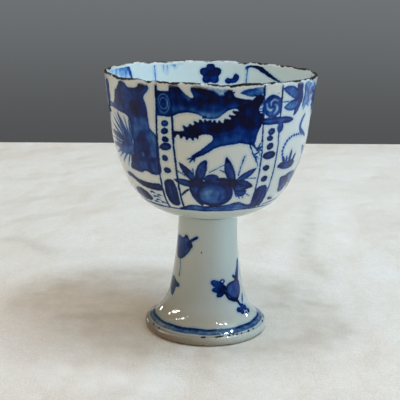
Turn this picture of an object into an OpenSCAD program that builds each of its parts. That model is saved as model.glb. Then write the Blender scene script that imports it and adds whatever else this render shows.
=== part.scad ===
// Porcelain stem cup: a deep bowl with a foliate rim, luted with slip onto a hollow stem with a flared foot.
// Millimetres, +Z up. The origin is the centre of the foot, on the surface that the cup stands on.

/* [Bowl] */
// Outer radius of the mouth, at the crowns of the rim
mouth_r = 46.4; // [42:0.1:51]
// Height of the bowl, from its level underside to the crowns of the rim
bowl_h = 62.9; // [56:0.1:68]
// Height of the straight upper part of the wall
wall_h = 24; // [16:0.5:30]
// Lean of the straight wall from upright, in degrees
wall_lean = 7.1; // [4:0.1:10]
// Radius of the long curve of the wall below the straight part
belly_r = 72.8; // [64:0.2:88]
// Radius inside which the underside is level
level_r = 12.1; // [10:0.1:14]
// Thickness of the wall at the belly
wall_t = 2.3; // [1.8:0.1:3]
// Thickness of the wall at the rim
lip_t = 1.4; // [1:0.1:1.8]
// Thickness of the floor
floor_t = 4.6; // [3.2:0.1:6]

/* [Rim] */
// Number of painted panels around the bowl, each with a pair of lobes on the rim
panels = 6; // [4:1:8]
// Arc of the divider between two panels, with one small lobe, in degrees
divider_arc = 11; // [8:0.5:15]
// Drop of the rim from the crown of a lobe to the cusps beside it
cusp_drop = 0.5; // [0.4:0.1:1.2]
// Turn of a panel's centre from the front, -Y, towards +X, in degrees
panel_turn = 3.3; // [-10:0.1:10]

/* [Stem] */
// Height of the stem, from the foot to the slip
stem_h = 53.7; // [46:0.1:60]
// Outer radius at the top of the stem
stem_top_r = 13.4; // [12:0.1:15]
// Radius of the long hollow curve of the stem's side
taper_r = 178; // [150:1:210]
// Thickness of the stem's wall
stem_wall = 4.4; // [3:0.1:5.5]

/* [Foot] */
// Outer radius of the foot
foot_r = 28; // [25:0.1:31]
// Radius of the flare from the stem to the foot
flare_r = 22; // [18:0.5:26]
// Radius of the rounded outer edge of the foot
foot_edge_r = 2.2; // [1.5:0.1:3]
// Width of the flat ring that the cup stands on
foot_ring_w = 4.3; // [3:0.1:5.5]
// Radius of the flare inside the foot
hollow_flare_r = 20; // [16:0.5:24]

/* [Luting slip] */
// Thickness of the slip between the stem and the bowl
slip_t = 0.9; // [0.5:0.1:1.4]
// Width of slip squeezed into the hollow of the stem
slip_bead = 0.6; // [0.3:0.1:1]

/* [Hidden] */
$fn = 96;
porcelain = "#dfe6e4";
slip_white = "#e9e6da";

// Straight pieces in one curve of a profile
curve_steps = 14;
// Clay that stands above the crowns until the rim is cut to its lobes
rim_stock = 0.8;
// Room that a cutting tool has past what it cuts
tool_room = 3;

// Outside of the bowl: the wall line, the belly curve tangent to it, and the lower curve tangent to the belly
// and to the level underside
wall_foot = [mouth_r - wall_h * tan(wall_lean), bowl_h - wall_h];
belly_c = wall_foot - belly_r * [cos(wall_lean), -sin(wall_lean)];
lower_r = (pow(belly_r, 2) - pow(level_r - belly_c.x, 2) - pow(belly_c.y, 2)) / (2 * (belly_r - belly_c.y));
lower_c = [level_r, lower_r];
turn_a = atan2(belly_c.y - lower_c.y, lower_c.x - belly_c.x);

// Inside of the bowl: the same curves, one wall thickness in, and a smaller curve that blends into the floor
lower_in_r = lower_r - wall_t;
blend_r = lower_in_r / 2;
blend_rise = floor_t + blend_r - lower_r;
blend_c = [level_r + sqrt(pow(lower_in_r - blend_r, 2) - pow(blend_rise, 2)), floor_t + blend_r];
blend_a = atan2(-blend_rise, blend_c.x - level_r);
wall_foot_in = belly_c + (belly_r - wall_t) * [cos(wall_lean), -sin(wall_lean)];
lip_in = [mouth_r - lip_t, bowl_h];

// Rim: the lobes of one panel and its divider, as pairs of middle angle and half arc
panel_pitch = 360 / panels;
lobe_arc = (panel_pitch - divider_arc) / 2;
lobes = [[-lobe_arc / 2, lobe_arc / 2], [lobe_arc / 2, lobe_arc / 2], [panel_pitch / 2, divider_arc / 2]];

// Side of the stem: a long curve that starts upright at the top, then the flare, then the edge of the foot
taper_c = [stem_top_r + taper_r, stem_h];
edge_c = [foot_r - foot_edge_r, foot_edge_r];
flare_c = upper_meeting(taper_c, taper_r - flare_r, edge_c, flare_r + foot_edge_r);

// Hollow of the stem: the same long curve, one wall thickness in, and a flare that ends at the foot ring
bore_r = stem_top_r - stem_wall;
hollow_r = taper_r + stem_wall;
ring_in = [foot_r - foot_edge_r - foot_ring_w, 0];
hollow_c = upper_meeting(taper_c, hollow_r - hollow_flare_r, ring_in, hollow_flare_r);

// Height of the bowl's level underside
bowl_z = stem_h + slip_t;

// Direction of a line from p to q, from 0 to 360 degrees
function bearing(p, q) = (atan2(q.y - p.y, q.x - p.x) + 360) % 360;

// Points of an arc about c, after its first point
function arc(c, r, from, to) =
    [for (i = [1 : curve_steps]) let (a = from + (to - from) * i / curve_steps) c + r * [cos(a), sin(a)]];

// The higher of the two points that lie at r1 from c1 and at r2 from c2
function upper_meeting(c1, r1, c2, r2) =
    let (
        d = norm(c2 - c1),
        u = (c2 - c1) / d,
        along = (r1 * r1 - r2 * r2 + d * d) / (2 * d),
        across = sqrt(r1 * r1 - along * along),
        side = u.x < 0 ? -1 : 1
    )
    c1 + along * u + across * side * [-u.y, u.x];

// Outside curve of the bowl, from its underside to above the rim
function bowl_outside() = concat(
    [[level_r, 0]],
    arc(lower_c, lower_r, -90, -turn_a),
    arc(belly_c, belly_r, -turn_a, -wall_lean),
    [[mouth_r, bowl_h] + rim_stock * [tan(wall_lean), 1]]
);

// Inside curve of the bowl, from above the rim to the floor
function bowl_inside() = concat(
    [lip_in + rim_stock / wall_h * (lip_in - wall_foot_in), wall_foot_in],
    arc(belly_c, belly_r - wall_t, -wall_lean, -turn_a),
    arc(lower_c, lower_in_r, -turn_a, -blend_a),
    arc(blend_c, blend_r, -blend_a, -90)
);

// Outside curve of the stem, from the foot ring to the top
function stem_outside() =
    let (
        edge_a = bearing(edge_c, flare_c),
        waist_a = bearing(taper_c, flare_c)
    )
    concat(
        [edge_c - [0, foot_edge_r]],
        arc(edge_c, foot_edge_r, -90, edge_a),
        arc(flare_c, flare_r, edge_a + 180, waist_a),
        arc(taper_c, taper_r, waist_a, 180)
    );

// Curve of the stem's hollow, from the top to the foot ring
function stem_inside() =
    let (waist_a = bearing(taper_c, hollow_c))
    concat(
        [[bore_r, stem_h]],
        arc(taper_c, hollow_r, 180, waist_a),
        arc(hollow_c, hollow_flare_r, waist_a, bearing(hollow_c, ring_in))
    );

// Section of the bowl with its inside filled, which the slip is shaped against
module bowl_body_section() {
    polygon(concat([[0, 0]], bowl_outside(), [[0, bowl_h + rim_stock]]));
}

// What stands under one lobe of the rim: a drum on its side, which points at the bowl's axis. Its curve rises
// from the cusps to the crown.
module lobe(half_arc) {
    half_w = (mouth_r - lip_t / 2) * sin(half_arc);
    drum_r = (pow(half_w, 2) + pow(cusp_drop, 2)) / (2 * cusp_drop);
    translate([mouth_r - lip_t - 2 * tool_room, 0, -drum_r])
        rotate([0, 90, 0])
            cylinder(h = lip_t + 4 * tool_room, r = drum_r);
}

// Clay to cut away above the lobes
module rim_cut() {
    difference() {
        rotate_extrude()
            translate([mouth_r - lip_t - tool_room, -2 * cusp_drop])
                square([lip_t + 2 * tool_room, 2 * cusp_drop + rim_stock + tool_room]);
        for (panel = [0 : panels - 1], place = lobes)
            rotate([0, 0, panel_turn - 90 + panel * panel_pitch + place[0]])
                lobe(place[1]);
    }
}

module bowl() {
    color(porcelain)
        translate([0, 0, bowl_z])
            difference() {
                rotate_extrude()
                    polygon(concat([[0, 0]], bowl_outside(), bowl_inside(), [[0, floor_t]]));
                translate([0, 0, bowl_h])
                    rim_cut();
            }
}

module luting_slip() {
    // The fillet outside stops short of a feather edge under the bowl
    fillet_w = 0.75 * slip_t;
    color(slip_white)
        rotate_extrude()
            difference() {
                translate([bore_r - slip_bead, stem_h])
                    square([stem_wall + slip_bead + fillet_w, 2 * slip_t]);
                translate([stem_top_r + slip_t, stem_h])
                    circle(slip_t);
                translate([0, bowl_z])
                    bowl_body_section();
            }
}

module stem() {
    color(porcelain)
        rotate_extrude()
            polygon(concat(stem_outside(), stem_inside()));
}

bowl();
luting_slip();
stem();
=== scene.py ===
"""A porcelain stem cup, blue and white, on a pale table: bowl, luting slip and stem.

Lengths are millimetres, but lamps and the places that a material reads are in metres. An angle round the cup
is measured from the front, -Y, towards +X. Cobalt is painted on flat canvases: x runs across, and v runs down
along the surface from the rim or from the top of the stem.
"""
import math

import bpy
import numpy as np
from mathutils import Euler, Matrix


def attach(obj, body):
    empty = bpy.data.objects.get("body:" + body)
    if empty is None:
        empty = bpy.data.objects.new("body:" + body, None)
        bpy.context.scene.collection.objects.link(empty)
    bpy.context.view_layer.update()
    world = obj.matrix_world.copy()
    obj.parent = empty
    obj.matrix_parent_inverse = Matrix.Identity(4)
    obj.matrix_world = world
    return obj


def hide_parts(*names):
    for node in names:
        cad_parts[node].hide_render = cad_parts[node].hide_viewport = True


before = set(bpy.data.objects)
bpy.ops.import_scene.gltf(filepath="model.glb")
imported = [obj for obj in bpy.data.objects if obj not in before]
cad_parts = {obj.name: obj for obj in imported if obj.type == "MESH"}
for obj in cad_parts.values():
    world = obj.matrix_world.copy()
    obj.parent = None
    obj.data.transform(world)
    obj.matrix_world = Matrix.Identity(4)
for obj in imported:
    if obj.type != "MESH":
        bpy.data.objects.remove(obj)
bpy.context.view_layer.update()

MM = 0.001
chance = np.random.default_rng(7)

# Bowl
MOUTH_R = 46.4
BOWL_H = 62.9
WALL_H = 24.0
WALL_LEAN = math.radians(7.1)
BELLY_R = 72.8
LEVEL_R = 12.1
WALL_T = 2.3
LIP_T = 1.4
FLOOR_T = 4.6

# Rim: two lobes over each panel and one over each divider
PANELS = 6
PITCH = 2 * math.pi / PANELS
DIVIDER_ARC = math.radians(11)
CUSP_DROP = 0.3
PANEL_TURN = math.radians(3.3)

# Wear of the rim: angles in degrees and how much lower it is there
WEAR = ((-176, 0.25), (-165, 0), (-157, 0.5), (-141, 0.5), (-131, 0.05), (-116, 0.1), (-100, 0.4), (-88, 0.1),
        (-75, 0.4), (-62, 0.1), (-55, 0.55), (-49, 0.5), (-40, 0), (-36, 0.35), (-28, 0.2), (-20, 0.1),
        (-10, 0), (-6, 0.25), (-1, 0.3), (3, 0.25), (5.5, 0.7), (11, 0.6), (15, 0.15), (18, 0), (32, 0),
        (38, 0.05), (43, 0), (55, 0.2), (60, 0), (70, 0), (84, 0.2), (102, 0.35), (108, 0), (119, 0.5),
        (126, 0), (132, 0.55), (142, 0.3), (150, 0.1), (162, 0.55), (166, 0))

# Nicks of the rim: how many waves of each kind go round, and the deepest nick. The rim is cut a little low,
# so that it stays inside the part's box.
NICK_PITCHES = (47, 71, 83, 131)
NICK_DEPTH = 0.22
RIM_CLEAR = 0.03

# Stem and foot
STEM_H = 53.7
STEM_TOP_R = 13.4
TAPER_R = 178.0
STEM_WALL = 4.4
FOOT_R = 28.0
FLARE_R = 22.0
FOOT_EDGE_R = 2.2
FOOT_RING_W = 4.3
HOLLOW_FLARE_R = 20.0

# Luting slip
SLIP_T = 0.9
SLIP_BEAD = 0.6
SLIP_FILLET = 0.64
SLIP_ROUND = 0.3
BOWL_Z = STEM_H + SLIP_T

# Points round the finest rings of each piece
BOWL_COLUMNS = 576
STEM_COLUMNS = 320
SLIP_COLUMNS = 160

# Depths along the surface: the ring line under the panels, the lower ends of the strips between the panels,
# and on the foot the band, its dark line and the chips
RING_LINE = 57.9
STRIP_FOOT = 57.0
FOOT_BAND = 50.8
FOOT_LINE = 49.6
FOOT_CHIPS = 53.2

# Rings on the floor inside the bowl, and the depth below which the floor is painted
FLOOR_RINGS = (15, 17.6)
FLOOR_DEPTH = 40

# Distance to cobalt that stands for none near, how far past a shape's edge its distance is worked out, and
# a place off every canvas
FAR = 9.0
EDGE_ROOM = 2.5
OFF_CANVAS = 99


# Curves of the sections

def arc(centre, radius, start, end, count=80):
    """Points at one radius from a centre, at evenly spaced angles."""
    a = np.linspace(start, end, count)
    return np.column_stack([centre[0] + radius * np.cos(a), centre[1] + radius * np.sin(a)])


def upper_meeting(c1, r1, c2, r2):
    """The higher point at r1 from c1 and r2 from c2: along the line of centres, then square to it."""
    c1, c2 = np.array(c1, float), np.array(c2, float)
    gap = np.hypot(*(c2 - c1))
    u = (c2 - c1) / gap
    along = (r1 * r1 - r2 * r2 + gap * gap) / (2 * gap)
    across = math.sqrt(r1 * r1 - along * along) * (-1 if u[0] < 0 else 1)
    return c1 + along * u + across * np.array([-u[1], u[0]])


def bearing(p, q):
    """Angle of the line from p to q, from 0 to a full turn."""
    return math.atan2(q[1] - p[1], q[0] - p[0]) % (2 * math.pi)


def run(points):
    """Distance along a line of points, from its first point."""
    return np.concatenate([[0], np.cumsum(np.hypot(*np.diff(points, axis=0).T))])


def at(points, distance):
    """Radius and height at distances along a line of points."""
    length = run(points)
    return np.interp(distance, length, points[:, 0]), np.interp(distance, length, points[:, 1])


def bowl_curves():
    """Outside of the bowl from crown to underside, and inside from crown to floor. Outside: a leaning wall,
    a long belly arc tangent to it, and a lower arc tangent to the belly and the level underside. Inside: the
    same arcs, one wall in, then an arc of half the lower radius that blends into the floor."""
    lean = np.array([math.cos(WALL_LEAN), -math.sin(WALL_LEAN)])
    wall_foot = np.array([MOUTH_R - WALL_H * math.tan(WALL_LEAN), BOWL_H - WALL_H])
    belly = wall_foot - BELLY_R * lean
    low_r = (BELLY_R**2 - (LEVEL_R - belly[0])**2 - belly[1]**2) / (2 * (BELLY_R - belly[1]))
    low = np.array([LEVEL_R, low_r])
    turn = math.atan2(belly[1] - low[1], low[0] - belly[0])
    outside = np.vstack([
        [[MOUTH_R, BOWL_H]],
        arc(belly, BELLY_R, -WALL_LEAN, -turn),
        arc(low, low_r, -turn, -math.pi / 2)[1:],
        [[0, 0]],
    ])
    low_in = low_r - WALL_T
    blend_r = low_in / 2
    rise = FLOOR_T + blend_r - low_r
    blend = np.array([LEVEL_R + math.sqrt((low_in - blend_r)**2 - rise**2), FLOOR_T + blend_r])
    blend_a = math.atan2(-rise, blend[0] - LEVEL_R)
    inside = np.vstack([
        [[MOUTH_R - LIP_T, BOWL_H]],
        arc(belly, BELLY_R - WALL_T, -WALL_LEAN, -turn),
        arc(low, low_in, -turn, -blend_a)[1:],
        arc(blend, blend_r, -blend_a, -math.pi / 2)[1:],
        [[0, FLOOR_T]],
    ])
    return outside + [0, BOWL_Z], inside + [0, BOWL_Z]


def stem_curves():
    """Outside of the stem from top to foot ring, and its hollow from top to foot ring. Outside: a long
    hollow arc that starts upright, a tighter flare tangent to it, and the round edge of the foot. Hollow:
    the long arc, one wall in, and a flare that ends at the inner edge of the foot ring."""
    taper = np.array([STEM_TOP_R + TAPER_R, STEM_H])
    edge = np.array([FOOT_R - FOOT_EDGE_R, FOOT_EDGE_R])
    flare = upper_meeting(taper, TAPER_R - FLARE_R, edge, FLARE_R + FOOT_EDGE_R)
    waist = bearing(taper, flare)
    shoulder = bearing(edge, flare)
    outside = np.vstack([
        arc(taper, TAPER_R, math.pi, waist),
        arc(flare, FLARE_R, waist, shoulder + math.pi)[1:],
        arc(edge, FOOT_EDGE_R, shoulder, -math.pi / 2)[1:],
    ])
    ring_in = np.array([FOOT_R - FOOT_EDGE_R - FOOT_RING_W, 0])
    hollow_r = TAPER_R + STEM_WALL
    bell = upper_meeting(taper, hollow_r - HOLLOW_FLARE_R, ring_in, HOLLOW_FLARE_R)
    hollow_waist = bearing(taper, bell)
    hollow = np.vstack([
        arc(taper, hollow_r, math.pi, hollow_waist),
        arc(bell, HOLLOW_FLARE_R, hollow_waist, bearing(bell, ring_in))[1:],
    ])
    return outside, hollow


# Meshes

def turn_ring(angle, radius, height):
    """One ring of points round the axis, with its own radius and height at each angle."""
    radius, height = np.broadcast_to(radius, angle.shape), np.broadcast_to(height, angle.shape)
    return np.column_stack([radius * np.sin(angle), -radius * np.cos(angle), height])


def skin(rings, band, closed):
    """Faces between rings of points, in order from one end of a surface to the other, and a flat layout of
    them. Two equal rings are joined by quads, a ring and its half by three triangles to each coarse step,
    and a single point by a fan. `band` is the height of each ring in the layout, and of the first again at
    the end where the surface is closed there. A ring comes back to its first point, and the layout runs on
    to 1."""
    start = np.concatenate([[0], np.cumsum([len(r) for r in rings])])
    faces, layout = [], []

    def add(corners, columns, heights):
        faces.extend(np.column_stack(corners).tolist())
        layout.append(np.column_stack([np.column_stack(columns).ravel(), np.tile(heights, len(corners[0]))]))

    for i in range(len(rings) - (0 if closed else 1)):
        j = (i + 1) % len(rings)
        n, m = len(rings[i]), len(rings[j])
        a, b, ha, hb = start[i], start[j], band[i], band[i + 1]
        k = np.arange(min(n, m) if min(n, m) > 1 else max(n, m))
        low, mid, high = k / len(k), (k + 0.5) / len(k), (k + 1) / len(k)
        if n == 1:
            add([a + 0 * k, b + (k + 1) % m, b + k], [mid, high, low], [ha, hb, hb])
        elif m == 1:
            add([a + k, a + (k + 1) % n, b + 0 * k], [low, high, mid], [ha, ha, hb])
        elif n == m:
            add([a + k, a + (k + 1) % n, b + (k + 1) % n, b + k], [low, high, high, low], [ha, ha, hb, hb])
        else:
            # Corners are listed backwards where the coarse ring comes first
            way = 1 if n > m else -1
            (fine, h_fine), (coarse, h_coarse) = [(a, ha), (b, hb)][::way]
            left, middle, right = fine + 2 * k, fine + 2 * k + 1, fine + (2 * k + 2) % max(n, m)
            near, far = coarse + k, coarse + (k + 1) % min(n, m)
            for corners, columns, heights in (
                    ([left, middle, near], [low, mid, low], [h_fine, h_fine, h_coarse]),
                    ([middle, far, near], [mid, high, low], [h_fine, h_coarse, h_coarse]),
                    ([middle, right, far], [mid, high, high], [h_fine, h_fine, h_coarse])):
                add(corners[::way], columns[::way], heights[::way])
    return np.vstack(rings), faces, np.vstack(layout)


class Surface:
    """Rings of points in order along a section, with the values that the points carry."""

    def __init__(self):
        self.rings, self.values = [], {}

    def add(self, points, **values):
        """One more ring. A value is the same all round, or has a number for each point."""
        self.rings.append(points)
        for key, value in values.items():
            self.values.setdefault(key, []).append(np.broadcast_to(value, len(points)))


def make_object(name, points, faces, values, material):
    """An object in the scene: a mesh of points in millimetres, with values at its points."""
    mesh = bpy.data.meshes.new(name)
    mesh.from_pydata((points * MM).tolist(), [], faces)
    for key, value in values.items():
        mesh.attributes.new(key, "FLOAT", "POINT").data.foreach_set("value", value)
    mesh.materials.append(material)
    made = bpy.data.objects.new(name, mesh)
    bpy.context.collection.objects.link(made)
    return made


def make_piece(name, node, surface, material, closed=False):
    """A smooth piece from a surface, with its layout for baking, in place of a CAD node. The height of a
    ring in the layout is the length of the section up to it."""
    rings = surface.rings
    middle = np.array([[np.hypot(*r[:, :2].T).mean(), r[:, 2].mean()] for r in rings + rings[:closed]])
    points, faces, layout = skin(rings, run(middle) / run(middle)[-1], closed)
    values = {key: np.concatenate(parts) for key, parts in surface.values.items()}
    piece = make_object(name, points, faces, values, material)
    piece.data.polygons.foreach_set("use_smooth", np.ones(len(faces), bool))
    piece.data.uv_layers.new(name="OFBake").data.foreach_set("uv", layout.ravel())
    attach(piece, "root")
    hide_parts(node)


# Painting

def smooth(points, closed=False, steps=4):
    """Cubic curve through points: on each span from b to c, with neighbours a and d, half of
    2b + (c-a)t + (2a-5b+4c-d)t^2 + (3b-a-3c+d)t^3."""
    p = np.asarray(points, float)
    p = np.vstack([p[-1:], p, p[:2]]) if closed else np.vstack([2 * p[0] - p[1], p, 2 * p[-1] - p[-2]])
    a, b, c, d = p[:-3], p[1:-2], p[2:-1], p[3:]
    t = np.linspace(0, 1, steps, endpoint=False)[:, None, None]
    curve = (2 * b + (c - a) * t + (2 * a - 5 * b + 4 * c - d) * t**2 + (3 * b - a - 3 * c + d) * t**3) / 2
    curve = curve.transpose(1, 0, 2).reshape(-1, p.shape[1])
    return curve if closed else np.vstack([curve, c[-1:]])


class Canvas:
    """Glaze laid flat, in millimetres: x across, v down. `ink` is the signed distance to the edge of the
    cobalt, below zero inside it, and `tone` is the strength of the cobalt, from 0 to 1."""

    def __init__(self, x, v, flip=False):
        self.x, self.v = np.broadcast_arrays(-x if flip else x, v)
        self.ink = np.full(self.x.shape, FAR)
        self.tone = np.zeros(self.x.shape)

    def near(self, points, margin):
        """Which places on the canvas lie within a margin of the box round some points."""
        low, high = np.min(points, axis=0), np.max(points, axis=0)
        return ((self.x > low[0] - margin) & (self.x < high[0] + margin)
                & (self.v > low[1] - margin) & (self.v < high[1] + margin))

    def lay(self, part, gap, tone, soft=0.5):
        """Cobalt where gap is below zero. On bare glaze its tone is carried past the edge, so that the edge
        keeps its strength. Over earlier cobalt it fades out over a soft width about the edge."""
        ink, old = self.ink[part], self.tone[part]
        cover = np.where(ink > 0.3, np.clip(1.8 - gap, 0, 1), np.clip(0.5 - gap / soft, 0, 1))
        self.tone[part] = old + (tone - old) * cover
        self.ink[part] = np.minimum(ink, gap)

    def lift(self, part, gap):
        """Bare glaze again where gap is below zero."""
        self.ink[part] = np.maximum(self.ink[part], -gap)

    def band(self, off, half_w, tone, soft=0.5):
        """A line of a half width along the places where `off`, the distance from its middle, is zero."""
        gap = np.broadcast_to(np.abs(off) - half_w, self.x.shape).ravel()
        self.lay(np.ones(self.x.shape, bool), gap, tone, soft)

    def line_gap(self, part, line, most=FAR):
        """Distance to a line of points (x, v, half width), less the half width, and no more than `most`."""
        x, v = self.x[part], self.v[part]
        gap = np.full(x.shape, most)
        for p, q in zip(line[:-1], line[1:]):
            dx, dv = q[0] - p[0], q[1] - p[1]
            t = np.clip(((x - p[0]) * dx + (v - p[1]) * dv) / (dx * dx + dv * dv + 1e-9), 0, 1)
            half_w = p[2] + t * (q[2] - p[2])
            gap = np.minimum(gap, np.hypot(x - p[0] - t * dx, v - p[1] - t * dv) - half_w)
        return gap

    def stroke(self, points, tone=0.92, straight=False, bare=False, soft=0.5):
        """A brush stroke through points (x, v, half width)."""
        line = np.asarray(points, float) if straight else smooth(points)
        part = self.near(line[:, :2], EDGE_ROOM + line[:, 2].max())
        gap = self.line_gap(part, line)
        if bare:
            self.lift(part, gap)
        else:
            self.lay(part, gap, tone, soft)

    def spot(self, x, v, a, b, turn=0, tone=0.92, bare=False, soft=0.5):
        """An ellipse with half axes a and b, the first turned down from x by an angle in degrees."""
        part = self.near([(x, v)], EDGE_ROOM + max(a, b))
        c, s = math.cos(math.radians(turn)), math.sin(math.radians(turn))
        dx, dv = self.x[part] - x, self.v[part] - v
        u, w = c * dx + s * dv, c * dv - s * dx
        k = np.hypot(u / a, w / b)
        gap = k * (k - 1) / (np.hypot(u / a**2, w / b**2) + 1e-6)
        if bare:
            self.lift(part, gap)
        else:
            self.lay(part, gap, tone, soft)

    def patch(self, outline, tone=0.8, edge=None, edge_w=0.45, soft=0.5):
        """A filled shape inside a closed outline, with a darker line along its edge where `edge` is given."""
        ring = smooth(outline, closed=True)
        part = self.near(ring, EDGE_ROOM)
        x, v = self.x[part], self.v[part]
        loop = np.vstack([ring, ring[:1]])
        gap = self.line_gap(part, np.column_stack([loop, np.zeros(len(loop))]))
        inside = np.zeros(x.shape, bool)
        for (x0, v0), (x1, v1) in zip(loop[:-1], loop[1:]):
            inside ^= ((v0 > v) != (v1 > v)) & (x < (x1 - x0) * (v - v0) / (v1 - v0 + 1e-12) + x0)
        gap = np.where(inside, -gap, gap)
        self.lay(part, gap, tone, soft)
        if edge is not None:
            self.lay(part, np.abs(gap + edge_w) - edge_w, edge)

    def leaf(self, base, tip, width, tone=0.75, bend=0.0, edge=None):
        """A pointed leaf: its half width is a sine along a spine that bends to one side."""
        base, tip = np.array(base, float), np.array(tip, float)
        t = np.linspace(0, 1, 9)[:, None]
        side = np.array([base[1] - tip[1], tip[0] - base[0]])
        spine = base + (tip - base) * t + side * bend * t * (1 - t)
        half = 0.2 + (width / 2 - 0.2) * np.sin(math.pi * t**0.9)**0.75
        self.stroke(np.hstack([spine, half]), tone)
        if edge is not None:
            normal = side / (np.hypot(*side) + 1e-9)
            thin = np.full(t.shape, 0.3)
            self.stroke(np.hstack([spine + normal * (half - 0.3), thin]), edge)
            self.stroke(np.hstack([spine - normal * (half - 0.3), thin]), edge)

    def hairs(self, line, length, lean, spacing=1.2, width=0.5, tone=0.98, tip=0.12):
        """A row of tapered hairs along a line, each turned from the line by an angle in degrees. They are
        evenly spaced, and each is then shifted along the line by a sine of its count."""
        path = smooth(line)
        count = max(2, int(run(path)[-1] / spacing))
        s = np.linspace(0, run(path)[-1], count) + 0.3 * spacing * np.sin(7 * np.arange(count))
        x, v = np.interp(s, run(path), path[:, 0]), np.interp(s, run(path), path[:, 1])
        way = np.arctan2(np.gradient(v), np.gradient(x)) + math.radians(lean)
        reach = length * (0.75 + 0.5 * chance.random(count))
        for x0, v0, a, size in zip(x, v, way, reach):
            end_x, end_v = x0 + size * math.cos(a), v0 + size * math.sin(a)
            self.stroke([(x0, v0, width), (end_x, end_v, tip)], tone, straight=True)


def wrap(angle):
    """An angle from half a turn below zero to half a turn above."""
    return (angle + math.pi) % (2 * math.pi) - math.pi


class Wall(Canvas):
    """A canvas all round the cup: x is the angle, and there is a radius at each depth v."""

    def __init__(self, angle, v, radius):
        super().__init__(angle, v[:, None])
        self.angle, self.radius = angle, radius[:, None]

    def paint(self, middle, reach, motif, flip=False):
        """A motif within a reach, in degrees, of a middle angle. Its x is the distance from the middle."""
        off = wrap(self.angle - middle)
        some = np.abs(off) < math.radians(reach)
        c = Canvas(off[some] * self.radius, self.v[:, some], flip)
        c.ink, c.tone = self.ink[:, some], self.tone[:, some]
        motif(c)
        self.ink[:, some], self.tone[:, some] = c.ink, c.tone


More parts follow.
